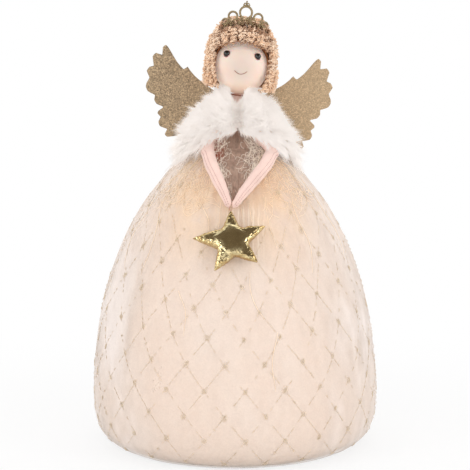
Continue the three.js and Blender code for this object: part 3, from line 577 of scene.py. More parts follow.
# Painted shadow line: a reddish-brown cord laid where the hairline meets the face.
def make_hairline_shadow_cord():
    return fuzzy("hairline_shadow_cord", srgb(0xB37448), srgb(0xD09464), 1500, 4, 0.0003)


def make_bead():
    f = Finish("bead")
    at = f.place()
    haze = f.noise(at, 700, 3, 0.5)
    base = f.blend(haze * 0.3, colours().bead, (0.03, 0.022, 0.018, 1))
    return f.surface(base, Roughness=0.1 + haze * 0.05, Specular_IOR_Level=0.5, Coat_Weight=0.25,
                     Coat_Roughness=0.05)


def glitter_look(name, base_colour, grain, shine, rough, lean=0.0):
    """Flakes of glitter set in glue: each cell has its own tone, tilt and gloss. A lean above 0 paints the +X
    side lighter, as painted light.
    """
    f = Finish(name)
    at = f.place()
    flake = f.cells(at, grain, output="Color")
    red, green, blue = f.split(flake)
    gap = f.cells(at, grain, "DISTANCE_TO_EDGE").between(0.0, 0.12)
    fine = f.cells(at, grain * 2.3, output="Color")
    fine_red, fine_green, _ = f.split(fine)
    tone = f.blend(red, tinted(base_colour, 0.45), tinted(base_colour, 1.6))
    tone = f.blend((fine_green - 0.5).most(0.0) * 1.1, tone, tinted(base_colour, 2.4))
    tone = f.blend(1 - gap, tone, tinted(base_colour, 0.5))
    # Painted light: the +X side is made lighter by the share lean.
    across = f.split(at)[0].between(-0.05, 0.05)
    tone = f.blend(across * lean, tone, tinted(base_colour, 2.0))
    height = red * 0.5 + fine_red * 0.5
    return f.surface(tone, Metallic=shine * (0.55 + blue * 0.45), Roughness=rough + green * 0.3,
                     Normal=f.bump(height, 0.0004, 0.45))


def make_glitter():
    # The wings are painted lighter towards +X, as painted light from that side.
    return glitter_look("glitter", tinted(colours().glitter, 0.86), 1350, 0.6, 0.34, 0.34)


def make_tiara():
    return glitter_look("tiara_gold", colours().tiara, 3200, 0.75, 0.3)


def make_foil():
    """Foil laid on cloth: mirror-like, with short creases and a fine woven grain."""
    f = Finish("foil")
    at = f.place()
    seam = f.attribute("seam")
    crease = f.noise(f.place((1, 1, 1), (0.4, 0.2, 0.3)), 420, 4, 0.62)
    fine = f.noise(at, 1400, 2, 0.6)
    slow = f.noise(at, 70, 1, 0.4)
    base = f.blend(crease.between(0.3, 0.75), tinted(colours().foil, 0.86), colours().foil)
    base = f.blend((seam * (0.3 + crease.between(0.4, 0.6) * 0.55)).least(0.8), base, srgb(0xB08F58))
    return f.surface(base, Metallic=1.0, Roughness=0.13 + crease * 0.12,
                     Normal=f.bump(crease * (0.03 + seam * 0.75) + fine * 0.03 + slow * 0.5, 0.0009, 0.7))


def make_bodice():
    """Crushed grey-brown organza in upright pleats."""
    f = Finish("bodice")
    at = f.place()
    crush = f.noise(f.place((1, 1, 0.28)), 420, 5, 0.65)
    slow = f.noise(at, 95, 3, 0.55)
    base = f.blend(crush.between(0.25, 0.75), tinted(colours().bodice, 0.62), tinted(colours().bodice, 1.2))
    base = f.blend(slow.between(0.5, 0.8) * 0.55, base, srgb(0x8A6455))
    x, _, z = f.split(at)
    blot = f.noise(at, 260, 3, 0.6)
    rust = (1 - (x + 0.0135).size().between(0.002, 0.0085)) * z.between(0.186, 0.193)
    base = f.blend((rust * (0.7 + blot)).least(1.0), base, srgb(0xA24E2E))
    return f.surface(base, Roughness=0.5 + crush * 0.2, Sheen_Weight=0.25, Sheen_Roughness=0.3,
                     Normal=f.bump(crush, 0.0009))


def make_silver():
    f = Finish("silver")
    at = f.place()
    glint = f.noise(at, 1800, 2, 0.5)
    base = f.blend(glint, tinted(colours().silver, 0.7), colours().silver)
    # The emission is a painted glow that lifts the curled threads and the collar's hook.
    return f.surface(base, Metallic=0.05, Roughness=0.4 + glint * 0.25, Emission_Color=base,
                     Emission_Strength=0.2, Normal=f.bump(glint, 0.00008))


def make_felt():
    return fuzzy("felt", tinted(colours().felt, 0.8), colours().felt, 800, 5, 0.0004)


def make_stage():
    """White where the camera or a gloss sees it, but it keeps the object's shadow."""
    f = Finish("stage")
    seen = seen_rays(f)
    x, y, _ = f.split(f.place())
    far = ((x * x + y * y) ** 0.5).between(0.12, 0.42)
    floor = f.node("ShaderNodeBsdfDiffuse", {}, {"Color": (0.9, 0.9, 0.9, 1)})
    white = f.node("ShaderNodeEmission", {}, {"Color": (1, 1, 1, 1), "Strength": 1.0})
    mixed = f.node("ShaderNodeMixShader", {}, {0: seen * (0.8 + far * 0.2), 1: floor, 2: white})
    f.node("ShaderNodeOutputMaterial", {}, {0: mixed})
    return f.material


def make_dark_card():
    """Seen only in the gloss of foil, beads and metal."""
    f = Finish("dark_card")
    at = f.place()
    tone = f.blend(f.noise(at, 4, 2, 0.5), (0.118, 0.088, 0.06, 1), (0.182, 0.14, 0.098, 1))
    return f.surface((0, 0, 0, 1), Roughness=1.0, Emission_Color=tone, Emission_Strength=1.0)


makers = {
    "card": make_card, "wood": make_wood, "wadding": make_wadding, "satin": make_satin, "net": make_net,
    "gold_thread": make_gold_thread, "pale_thread": make_pale_thread, "frill_thread": make_frill_thread,
    "fur": make_fur, "under_fur": make_under_fur, "skin": make_skin, "pink_cloth": make_pink_cloth,
    "thread": make_thread, "seam_thread": make_seam_thread, "yarn": make_yarn, "wig_net": make_wig_net,
    "hairline_shadow_cord": make_hairline_shadow_cord, "bead": make_bead, "glitter": make_glitter, "tiara": make_tiara,
    "foil": make_foil, "bodice": make_bodice, "silver": make_silver, "felt": make_felt,
    "stage": make_stage, "dark_card": make_dark_card,
}
finishes = {}


def finish_of(name):
    """Each finish is made once, when its first piece asks for it."""
    if name not in finishes:
        finishes[name] = makers[name]()
    return finishes[name]


# Shapes


def reading(table, at):
    """A smooth reading of a table of pairs."""
    if at <= table[0][0]:
        return table[0][1]
    if at >= table[-1][0]:
        return table[-1][1]
    i = next(k for k in range(1, len(table)) if at <= table[k][0])
    (x1, y1), (x2, y2) = table[i - 1], table[i]
    slopes = []
    for k in (i - 1, i):
        before, after = table[max(k - 1, 0)], table[min(k + 1, len(table) - 1)]
        slopes.append((after[1] - before[1]) / (after[0] - before[0]))
    t, wide = (at - x1) / (x2 - x1), x2 - x1
    return ((2 * t ** 3 - 3 * t * t + 1) * y1 + (t ** 3 - 2 * t * t + t) * wide * slopes[0]
            + (3 * t * t - 2 * t ** 3) * y2 + (t ** 3 - t * t) * wide * slopes[1])


def step(low, high, at):
    t = min(1.0, max(0.0, (at - low) / (high - low)))
    return t * t * (3 - 2 * t)


def around(radius, angle, z):
    """A point about the axis. Angle 0 is the doll's front, and it grows to her left."""
    return Vector((radius * math.sin(angle), -radius * math.cos(angle), z))


def torso_reach(z):
    """The torso's radius at a height."""
    return torso_radius * reading(torso_shares, (z - torso_foot) / (torso_top - torso_foot))


def skirt_radius(z):
    return waist_radius + (skirt_half_width - waist_radius) * reading(skirt_shares, z / skirt_height)


def folds(z, angle, depth, gather):
    """Slow folds all the way down, and close gathers that die out below the waist."""
    up = z / skirt_height
    front = 0.35 + 0.65 * step(0.15, 1.0, abs(angle))
    slow = (math.cos(12 * angle + 2.6 * up) * 0.45 + math.cos(5 * angle + 1) * 0.25
            + math.cos(19 * angle - 3.1 * up + 0.7) * 0.3)
    close = math.cos(41 * angle + 1.5 * math.sin(3 * angle)) * 0.6 + math.cos(27 * angle + 2.0) * 0.4
    body = math.sin(math.pi * min(1, max(0, up))) * 0.6 + 0.08
    return depth * body * slow * front + gather * step(0.55, 0.93, up) * close * (0.5 + 0.5 * front)


# Sharp little ridges in the net: half width and height, then (height on the skirt, angle) along each.
net_ridges = [
    (0.0011, 0.0010, [(0.1707, 0.342), (0.1537, 0.327), (0.1445, 0.342), (0.136, 0.37)]),
    (0.0011, 0.0008, [(0.1249, 0.119), (0.1145, 0.113), (0.1044, 0.148), (0.0955, 0.213)]),
    (0.0012, 0.0009, [(0.164, -0.93), (0.155, -0.86), (0.138, -0.8), (0.118, -0.84)]),
    (0.0010, 0.0008, [(0.166, -0.42), (0.156, -0.27), (0.147, -0.24)]),
    (0.0011, 0.0009, [(0.170, 0.72), (0.156, 0.66), (0.139, 0.7), (0.121, 0.66)]),
    (0.0010, 0.0007, [(0.112, -0.44), (0.1, -0.36), (0.085, -0.36)]),
    (0.0011, 0.0007, [(0.088, 0.3), (0.07, 0.25), (0.052, 0.27)]),
    (0.0012, 0.0011, [(0.178, -1.25), (0.16, -1.12), (0.14, -1.16), (0.12, -1.1)]),
    (0.0012, 0.0011, [(0.178, 1.2), (0.162, 1.12), (0.145, 1.2), (0.126, 1.16)]),
    (0.0007, 0.0007, [(0.1655, -0.16), (0.154, -0.15), (0.146, -0.165)]),
    (0.0007, 0.0007, [(0.1655, -0.075), (0.153, -0.07), (0.148, -0.06)]),
    (0.0007, 0.0008, [(0.1655, 0.06), (0.155, 0.075), (0.144, 0.08)]),
    (0.0007, 0.0007, [(0.1655, 0.15), (0.155, 0.16), (0.146, 0.18)]),
]


def ridges(z, angle):
    rise = 0.0
    for wide, high, route in net_ridges:
        if route[-1][0] < z < route[0][0]:
            i = next(k for k in range(1, len(route)) if z >= route[k][0])
            (z1, a1), (z2, a2) = route[i - 1], route[i]
            gone = (angle - a1 - (a2 - a1) * (z - z1) / (z2 - z1)) * 0.06 / wide
            if abs(gone) < 3:
                ends = (route[0][0] - z) * (z - route[-1][0]) / (0.5 * (route[0][0] - route[-1][0])) ** 2
                rise += high * math.exp(-gone * gone) * min(1.0, 2.5 * ends)
    return rise


def net_point(z, angle, out=0.0):
    radius = skirt_radius(z) + folds(z, angle, sizes().net_fold, sizes().net_gather) + ridges(z, angle) + out
    return around(radius, angle, z)


def lining_point(z, angle, out=0.0):
    inset = 0.00095 + lining_ease * reading(ease_shares, z / skirt_height)
    radius = skirt_radius(z) - inset + folds(z, angle + 0.2, 0.0010, 0.0006) + out
    return around(radius, angle, z)


def new_object(name, mesh, finish, smooth=True):
    thing = bpy.data.objects.new(name, mesh)
    bpy.context.scene.collection.objects.link(thing)
    mesh.materials.clear()
    mesh.materials.append(finish_of(finish))
    mesh.polygons.foreach_set("use_smooth", [smooth] * len(mesh.polygons))
    mesh.update()
    return thing


def from_shape(name, shape, finish, smooth=True, outwards=True):
    """Ends a bmesh: doubles merged, faces outwards, and an object made of it."""
    bmesh.ops.remove_doubles(shape, verts=shape.verts, dist=1e-7)
    if outwards:
        bmesh.ops.recalc_face_normals(shape, faces=shape.faces)
    mesh = bpy.data.meshes.new(name)
    shape.to_mesh(mesh)
    shape.free()
    return new_object(name, mesh, finish, smooth)


def settle(thing):
    """Applies the modifiers of a piece."""
    graph = bpy.context.evaluated_depsgraph_get()
    graph.update()
    mesh = bpy.data.meshes.new_from_object(thing.evaluated_get(graph), preserve_all_data_layers=True,
                                           depsgraph=graph)
    old = thing.data
    thing.modifiers.clear()
    thing.data = mesh
    bpy.data.meshes.remove(old)
    mesh.name = thing.name
    mesh.polygons.foreach_set("use_smooth", [True] * len(mesh.polygons))
    return thing


def add_modifier(thing, kind, **settings):
    made = thing.modifiers.new(kind.title(), kind)
    for name, value in settings.items():
        setattr(made, name, value)
    return made


def spun(profile, steps, closed_loop=False):
    """A bmesh turned about Z from a profile of (radius, height)."""
    shape = bmesh.new()
    points = [shape.verts.new((0, -r, z)) for r, z in profile]
    edges = [shape.edges.new((a, b)) for a, b in zip(points, points[1:])]
    if closed_loop:
        edges.append(shape.edges.new((points[-1], points[0])))
    bmesh.ops.spin(shape, geom=points + edges, cent=(0, 0, 0), axis=(0, 0, 1), dvec=(0, 0, 0),
                   angle=2 * math.pi, steps=steps, use_merge=True, use_duplicate=False)
    bmesh.ops.remove_doubles(shape, verts=shape.verts, dist=1e-6)
    return shape


def strands(name, lines, finish, sides=4, tone=None):
    """Threads, fibres or wires: one mesh swept along many lines of (points, radii)."""
    curve = bpy.data.curves.new(name, "CURVE")
    curve.dimensions = "3D"
    curve.twist_mode = "MINIMUM"
    curve.bevel_depth = 1.0
    curve.use_fill_caps = True
    ring = None
    if sides == 3:
        outline = bpy.data.curves.new(name + "_section", "CURVE")
        outline.dimensions = "2D"
        section = outline.splines.new("POLY")
        section.points.add(2)
        for i in range(3):
            turn = -2 * math.pi * i / 3
            section.points[i].co = (math.cos(turn), math.sin(turn), 0, 1)
        section.use_cyclic_u = True
        ring = bpy.data.objects.new(name + "_section", outline)
        curve.bevel_mode, curve.bevel_object = "OBJECT", ring
    else:
        curve.bevel_resolution = (sides - 4) // 2
    for points, radii in lines:
        spline = curve.splines.new("POLY")
        spline.points.add(len(points) - 1)
        flat = []
        for p in points:
            flat.extend((p[0], p[1], p[2], 1.0))
        spline.points.foreach_set("co", flat)
        spline.points.foreach_set("radius", radii)
    holder = bpy.data.objects.new(name + "_line", curve)
    bpy.context.scene.collection.objects.link(holder)
    graph = bpy.context.evaluated_depsgraph_get()
    graph.update()
    mesh = bpy.data.meshes.new_from_object(holder.evaluated_get(graph), depsgraph=graph)
    mesh.name = name
    bpy.data.objects.remove(holder)
    bpy.data.curves.remove(curve)
    if ring is not None:
        bpy.data.objects.remove(ring)
    for layer in list(mesh.uv_layers):
        mesh.uv_layers.remove(layer)
    if tone is not None:
        attribute = mesh.attributes.new(tone[0], "FLOAT", "POINT")
        attribute.data.foreach_set("value", [tone[1](v.co) for v in mesh.vertices])
    return new_object(name, mesh, finish)


def plate(points, thickness):
    """A flat outline, filled, and pulled out by a vector."""
    shape = bmesh.new()
    rim = [shape.verts.new(p) for p in points]
    edges = [shape.edges.new((a, b)) for a, b in zip(rim, rim[1:] + rim[:1])]
    bmesh.ops.edgeloop_fill(shape, edges=edges)
    made = bmesh.ops.extrude_face_region(shape, geom=shape.faces[:])
    bmesh.ops.translate(shape, verts=[v for v in made["geom"] if isinstance(v, bmesh.types.BMVert)],
                        vec=thickness)
    return shape


def lengths_along(line):
    """Distance along a line of points to each of them."""
    lengths = [0.0]
    for a, b in zip(line, line[1:]):
        lengths.append(lengths[-1] + (b - a).length)
    return lengths


def coil(line, radius, pitch, phase, steps_per_turn):
    """An uneven helix that follows a line of points."""
    lengths = lengths_along(line)
    total = lengths[-1]
    count = max(6, int(total / pitch * steps_per_turn))
    made, k = [], 1
    side = None
    for i in range(count + 1):
        along = total * i / count
        while k < len(line) - 1 and lengths[k] < along:
            k += 1
        a, b = line[k - 1], line[k]
        share = (along - lengths[k - 1]) / max(1e-9, lengths[k] - lengths[k - 1])
        middle = a.lerp(b, share)
        ahead = (b - a).normalized()
        if side is None:
            side = ahead.orthogonal().normalized()
        side = (side - ahead * side.dot(ahead)).normalized()
        across = ahead.cross(side)
        turn = phase + 2 * math.pi * along / pitch + 1.8 * noise.noise(middle * 230)
        reach = radius * (1 + 0.55 * noise.noise(middle * 620))
        made.append(middle + side * (reach * math.cos(turn)) + across * (reach * math.sin(turn)))
    return made


def carried(thing, body, slot, *nodes):
    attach(thing, body)
    if nodes:
        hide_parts(*nodes)
    return thing


def aim(thing, place, target):
    """Sets a lamp or camera at a place, looking at another."""
    thing.location = place
    thing.rotation_euler = (target - place).to_track_quat("-Z", "Y").to_euler()


# Pieces


class TOPPER_OT_stage(bpy.types.Operator):
    """Lays the floor, sets the lamps and the world, and places the camera"""
    bl_idname = "topper.stage"
    bl_label = "Stage, Lamps and Camera"

    def execute(self, context):
        scene = context.scene
        scene.view_settings.view_transform = "Standard"
        shape = bmesh.new()
        bmesh.ops.create_circle(shape, cap_ends=True, segments=96, radius=6.0)
        floor = from_shape("floor", shape, "stage", False)

        camera = bpy.data.objects.new("camera", bpy.data.cameras.new("camera"))
        scene.collection.objects.link(camera)
        aim(camera, camera_place, camera_aim)
        camera.data.sensor_width = camera_sensor
        camera.data.lens = camera_lens
        scene.camera = camera

        for name, place, wide, watts in (
            ("left_lamp", (-0.95, -0.75, 0.5), 0.6, 3.0),
            ("right_lamp", (1.0, -0.7, 0.45), 0.6, 3.6),
            ("front_lamp", (-0.15, -1.25, 0.3), 0.7, 1.2),
            ("spark_lamp", (-0.5, -1.1, 0.7), 0.05, 0.25),
            ("top_lamp", (0.05, 0.3, 1.25), 0.9, 1.8),
        ):
            lamp = bpy.data.lights.new(name, "AREA")
            lamp.shape, lamp.size, lamp.energy = "DISK", wide, watts
            holder = bpy.data.objects.new(name, lamp)
            scene.collection.objects.link(holder)
            aim(holder, Vector(place), lamp_aim)

        card = bmesh.new()
        bmesh.ops.create_circle(card, cap_ends=True, segments=48, radius=1.05)
        way = Vector((0.12, -0.655, 0.762)).normalized()
        turn = way.to_track_quat("Z", "Y").to_matrix().to_4x4()
        card_away = 1.25
        bmesh.ops.transform(card, matrix=Matrix.Translation(star_middle + way * card_away) @ turn,
                            verts=card.verts)
        card = from_shape("dark_card", card, "dark_card", False)
        card.visible_camera = card.visible_diffuse = card.visible_shadow = card.visible_transmission = False

        world = bpy.data.worlds.new("studio")
        scene.world = world
        world.use_nodes = True
        f = Finish.__new__(Finish)
        f.tree, f.count = world.node_tree, 0
        f.tree.nodes.clear()
        seen = seen_rays(f)
        dim = f.node("ShaderNodeBackground", {}, {"Color": (1, 0.99, 0.985, 1), "Strength": 0.82})
        white = f.node("ShaderNodeBackground", {}, {"Color": (1, 1, 1, 1), "Strength": 1.0})
        both = f.node("ShaderNodeMixShader", {}, {0: seen, 1: dim, 2: white})
        f.node("ShaderNodeOutputWorld", {}, {0: both})
        return {"FINISHED"}


class TOPPER_OT_card(bpy.types.Operator):
    """Gives the card ring and cone, the plug and the dowel their finishes, and stuffs the skirt"""
    bl_idname = "topper.card"
    bl_label = "Card Cone and Wadding"

    def execute(self, context):
        for node, finish in (("base_ring", "card"), ("support_cone", "card"), ("cone_plug", "wood"),
                             ("spine_dowel", "wood")):
            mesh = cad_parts[node].data
            mesh.materials.clear()
            mesh.materials.append(finish_of(finish))
        foot, rim, rise = 0.0023, 0.1863, 0.1878
        bore, ring_bore, under_lining = 0.0123, 0.0663, 0.0052
        outside = [(skirt_radius(z) - under_lining - lining_ease * reading(ease_shares, z / skirt_height), z)
                   for z in [foot + (rise - foot) * i / 40 for i in range(41)]]
        inside = [(bore, rise), (bore, rim), (ring_bore, foot)]
        shape = spun(outside + inside, 96, closed_loop=True)
        for v in shape.verts:
            if v.co.xy.length > 0.0665 or v.co.z > 0.06:
                push = noise.noise(v.co * 90) * 0.0011
                out = Vector((v.co.x, v.co.y, 0)).normalized()
                if v.co.xy.length > 0.066 - 0.29 * v.co.z + 0.004:
                    v.co += out * (push - 0.0004)
        thing = from_shape("wadding", shape, "wadding")
        carried(thing, "topper", "wadding", "skirt_filling")
        return {"FINISHED"}


def skirt_layer(name, point, thickness, finish, levels, steps):
    heights = [skirt_hem + (skirt_height - skirt_hem) * i / levels for i in range(levels + 1)]
    shape = spun([(0.05, z) for z in heights], steps)
    for v in shape.verts:
        v.co = point(v.co.z, math.atan2(v.co.x, -v.co.y))
    area = sum(face.calc_area() for face in shape.faces)
    thing = from_shape(name, shape, finish)
    add_modifier(thing, "SOLIDIFY", thickness=thickness, offset=-1.0, use_rim=True)
    return settle(thing), area


class TOPPER_OT_skirt(bpy.types.Operator):
    """Sews the satin lining and the net over it"""
    bl_idname = "topper.skirt"
    bl_label = "Lining and Net"

    def execute(self, context):
        lining, area = skirt_layer("satin_lining", lining_point, 0.0005, "satin", 64, 216)
        carried(lining, "topper", "lining", "skirt_lining")
        net, area = skirt_layer("net_skirt", net_point, 0.0003, "net", 96, 420)
        carried(net, "topper", "net", "skirt_net")
        return {"FINISHED"}


# Lattice: a knot of its lower part, how fast its rows rise to the sides, and how far the net is drawn in.
lattice_start, lattice_row = 0.00605, 0.0525
gather_sweep, gather_pull = 9.5, 0.34


def lattice_spot(a, b, back):
    """The angle and height of the lattice's point (a, b). Near the waist the gathers draw the net in,
    so that its rows rise towards the sides."""
    across = lattice_start + sizes().lattice_width * (a + b) / 2
    row = lattice_row - sizes().lattice_height * (a - b) / 2
    drawn = step(0.055, 0.135, row)
    z = row + gather_sweep * drawn * across * across / (2 * math.sqrt(1 + (across / 0.07) ** 2))
    if not skirt_hem + 0.002 < z < skirt_height - 0.003:
        return None
    angle = across * (1 - gather_pull * drawn) / skirt_radius(z)
    if abs(angle) > math.pi / 2 or (not back and z > 0.15 and abs(angle) < 0.55):
        return None
    if back:
        angle = math.copysign(math.pi, angle) - angle
    return angle, z


class TOPPER_OT_lattice(bpy.types.Operator):
    """Stitches the diamonds of gold thread and their knots on the net"""
    bl_idname = "topper.lattice"
    bl_label = "Gold Lattice"

    def execute(self, context):
        chance = random.Random(11)
        radius = sizes().lattice_thread

        cells, steps, fewest, leap = 22, 14, 3, 0.5
        count = range(-cells, cells + 1)
        stitches, knots, puffs, lines = [], [], [], []
        for back, family, number in ((x, y, z) for x in (False, True) for y in (0, 1) for z in count):
            line = []
            for i in range(-(cells + 2) * steps, (cells + 2) * steps + 1):
                spot = (number, i / steps) if family == 0 else (i / steps, number)
                found = lattice_spot(*spot, back)
                if found is None or (line and abs(found[0] - line[-1][0]) > leap):
                    if len(line) > fewest:
                        lines.append(line)
                    line = []
                if found:
                    line.append(found)
            if len(line) > fewest:
                lines.append(line)
        for line in lines:
            points = [net_point(z, angle, 0.00012) for angle, z in line]
            gone = 0.0
            lengths = lengths_along(points)

            def along(far):
                low, high = 0, len(lengths) - 1
                while high - low > 1:
                    mid = (low + high) // 2
                    low, high = (mid, high) if lengths[mid] <= far else (low, mid)
                share = (far - lengths[low]) / max(1e-9, lengths[high] - lengths[low])
                return points[low].lerp(points[high], min(1, max(0, share)))

            while gone < lengths[-1] - 0.001:
                stitch = 0.0021 + chance.random() * 0.0014
                end = min(gone + stitch, lengths[-1])
                faint = 0.27 + 0.95 * max(0.0, noise.noise(points[0] * 9 + along(gone) * 36))
                if chance.random() > faint and end - gone > 0.0006:
                    p, m, q = along(gone), along((gone + end) / 2), along(end)
                    out = Vector((m.x, m.y, 0)).normalized()
                    jog = Vector([chance.uniform(-1, 1) for _ in range(3)]) * 0.00018
                    thick = radius * chance.uniform(0.7, 1.15)
                    stitches.append(([p - out * 0.0002, m + out * 0.00022 + jog, q - out * 0.0002],
                                     [thick * 0.6, thick, thick * 0.6]))
                gone = end + 0.00035 + chance.random() * 0.0006
        for back, a, b in ((x, y, z) for x in (False, True) for y in count for z in count):
            found = lattice_spot(a, b, back)
            if found:
                knots.append((found, 1.0))
            for half in ((a + 0.5, b), (a, b + 0.5)):
                found = lattice_spot(*half, back)
                if found and chance.random() < 0.3:
                    knots.append((found, 0.45))
        for (angle, z), share in knots:
            under_star = z > 0.11 and abs(angle) < 0.45
            proud = 0.00002 if under_star else 0.00025
            middle = net_point(z, angle, proud)
            up = (net_point(z + 0.002, angle, proud) - middle).normalized()
            side = (net_point(z, angle + 0.02, proud) - middle).normalized()
            out = side.cross(up)
            reach = 0.0018 * share * chance.uniform(0.75, 1.15)
            for _ in range(4 if share > 0.6 else 2):
                turn = chance.uniform(0, 6.28)
                shift = (side * chance.uniform(-1, 1) + up * chance.uniform(-1, 1)) * reach * 0.5
                points = []
                for i in range(7):
                    phase = turn + i * 2 * math.pi / 6
                    far = reach * chance.uniform(0.35, 1.0)
                    points.append(middle + shift + side * (far * 0.85 * math.cos(phase))
                                  + up * (far * math.sin(phase)) + out * (0.0001 * math.sin(3 * phase)))
                puffs.append((points, [radius * 0.56] * len(points)))
        thing = strands("gold_lattice", stitches, "gold_thread")
        carried(thing, "topper", "net")
        thing = strands("lattice_knots", puffs, "pale_thread")
        carried(thing, "topper", "net")
        return {"FINISHED"}


class TOPPER_OT_body(bpy.types.Operator):
    """Stuffs the torso and the neck, ties the neck and pads the wings' patch"""
    bl_idname = "topper.body"
    bl_label = "Torso, Neck and Patch"

    def execute(self, context):
        count = 28
        side = [(torso_radius * reading(torso_shares, i / count),
                 torso_foot + (torso_top - torso_foot) * i / count) for i in range(count + 1)]
        profile = ([(0.0, torso_foot), (0.006, torso_foot), (0.0115, torso_foot + 0.0002)] + side
                   + [(0.0045, torso_top), (0.0, torso_top)])
        shape = spun(profile, 64)
        for v in shape.verts:
            out = Vector((v.co.x, v.co.y, 0))
            v.co -= out * (0.012 + 0.02 * noise.noise(v.co * 120))
        thing = from_shape("torso_body", shape, "skin")
        carried(thing, "topper", "skin", "torso")

        foot, top = 0.2221, 0.2306
        tie_radius, tie_height, tie_turns, tie_steps = 0.0057, 0.2295, 3, 28
        shape = spun([(0.0, foot), (0.0046, foot), (0.0052, foot + 0.0008), (0.0050, foot + 0.004),
                      (0.0051, top - 0.0012), (0.0046, top), (0.0, top)], 40)
        bmesh.ops.transform(shape, matrix=leaning, verts=shape.verts)
        thing = from_shape("neck_cloth", shape, "pink_cloth")
        carried(thing, "topper", "skin", "neck")

        turns = []
        for i in range(tie_turns * tie_steps + 1):
            turn = 2 * math.pi * i / tie_steps
            z = tie_height + 0.00028 * i / tie_steps + 0.0001 * math.sin(5 * turn)
            turns.append(leaning @ around(tie_radius, turn, z))
        thing = strands("neck_tie", [(turns, [0.0002] * len(turns))], "thread", 6)
        carried(thing, "topper", "thread", "neck_thread")

        low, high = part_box("wing_patch")
        middle, wings_face = (low + high) / 2, 0.01985
        shape = bmesh.new()
        bmesh.ops.create_cube(shape, size=1.0)
        bmesh.ops.subdivide_edges(shape, edges=shape.edges, cuts=7, use_grid_fill=True)
        for v in shape.verts:
            at = Vector((middle.x + v.co.x * 0.0175, 0, middle.z + v.co.z * 0.0098))
            rest = torso_reach(at.z) * 0.99 + 0.0002
            near = math.sqrt(max(rest * rest - at.x * at.x, 0.0060 ** 2))
            at.y = near + (wings_face - near) * (v.co.y + 0.5)
            v.co = at
        thing = from_shape("wing_pad", shape, "felt")
        carried(thing, "topper", "felt", "wing_patch")
        return {"FINISHED"}


def arm_rest(z, reach):
    """How far from the axis a round thing of that reach rests on the skirt, at a height."""
    rest = (torso_reach(z) if z < torso_top else 0.0) + reach
    for i in range(25):
        touch = z + reach * (2 * i / 24 - 1)
        if touch <= skirt_height:
            rest = max(rest, skirt_radius(touch) + math.sqrt(max(0.0, reach ** 2 - (touch - z) ** 2)))
    return rest


def front_rest(x, z, reach):
    ahead = max(shoulder_forward ** 2, arm_rest(z, reach) ** 2 - x * x)
    return Vector((x, -math.sqrt(ahead), z))


def smooth_line(points, count):
    """Points spread evenly along a smooth curve through the given ones."""
    fine = []
    for i in range(len(points) - 1):
        before = points[i - 1] if i else points[i] * 2 - points[i + 1]
        after = points[i + 2] if i + 2 < len(points) else points[i + 1] * 2 - points[i]
        for k in range(16):
            t = k / 16
            fine.append(0.5 * ((2 * points[i]) + (points[i + 1] - before) * t
                               + (2 * before - 5 * points[i] + 4 * points[i + 1] - after) * t * t
                               + (3 * points[i] - before - 3 * points[i + 1] + after) * t ** 3))
    fine.append(points[-1])
    lengths = lengths_along(fine)
    made, k = [], 1
    for i in range(count):
        at = lengths[-1] * i / (count - 1)
        while k < len(fine) - 1 and lengths[k] < at:
            k += 1
        share = (at - lengths[k - 1]) / max(1e-9, lengths[k] - lengths[k - 1])
        made.append(fine[k - 1].lerp(fine[k], share))
    return made


arm_seat = 0.0018


def arm_line(side):
    reach = 0.024 if side > 0 else 0.0176
    drop = shoulder_height - hands.z
    wide = sizes().arm_radius
    points = [
        Vector((side * shoulder_half_width * 0.72, -shoulder_forward * 0.75, shoulder_height + wide * 0.2)),
        Vector((side * shoulder_half_width * 1.08, -shoulder_forward * 1.25, shoulder_height - wide * 0.8)),
    ]
    route = smooth_line([Vector((side * reach * out + hands.x * (1 - out), 0, shoulder_height - down * drop))
                         for out, down in arm_shares], 10)
    points += [front_rest(p.x, p.z, wide + arm_seat) for p in route]
    points.append(front_rest(hands.x + side * 0.0012, hands.z + 0.0002, 0.0027 + arm_seat))
    return smooth_line(points, 60)


def arm_swell(along):
    return reading([(0, 0.8), (0.2, 1), (0.55, 1.02), (0.8, 0.86), (0.92, 0.64), (1, 0.54)], along)


class TOPPER_OT_arms(bpy.types.Operator):
    """Stuffs the two arms and sews their seams"""
    bl_idname = "topper.arms"
    bl_label = "Arms"

    def execute(self, context):
        wide = sizes().arm_radius
        for side, name, node in ((1, "left_arm", "arm_left"), (-1, "right_arm", "arm_right")):
            line = arm_line(side)
            count = len(line)
            radii = []
            for i, p in enumerate(line):
                along = i / (count - 1)
                to_tip = (1 - along) * 26
                tip = math.sqrt(max(0.02, 1 - max(0.0, 1 - to_tip) ** 2))
                crease = 1 - 0.05 * max(0.0, math.sin(34 * along + side)) ** 4
                radii.append(wide * arm_swell(along) * tip * crease)
            thing = strands(name, [(line, radii)], "pink_cloth", 24)
            for v in thing.data.vertices:
                v.co += noise.noise_vector(v.co * 260) * 0.00016
            add_modifier(thing, "SUBSURF", levels=1, render_levels=1)
            settle(thing)
            carried(thing, "arms", "limb", node)
            stitches = []
            for offset in (-0.1, 0.42):
                for i in range(6, count - 2):
                    a, b = line[i], line[min(i + 1, count - 1)]
                    ahead = (b - a).normalized()
                    out = Vector((a.x * 0.4, a.y, 0)).normalized()
                    out = (out - ahead * out.dot(ahead)).normalized()
                    across = ahead.cross(out) * (-side)
                    way = (out * math.cos(offset) + across * math.sin(offset)).normalized()
                    seat = radii[i] * 0.985
                    p = a + way * seat
                    q = a.lerp(b, 0.62) + way * seat
                    m = (p + q) / 2 + way * 0.00008
                    stitches.append(([p, m, q], [0.00013, 0.00018, 0.00013]))
            seam = strands(name + "_seam", stitches, "seam_thread", 4)
            carried(seam, "arms", "thread")
        return {"FINISHED"}


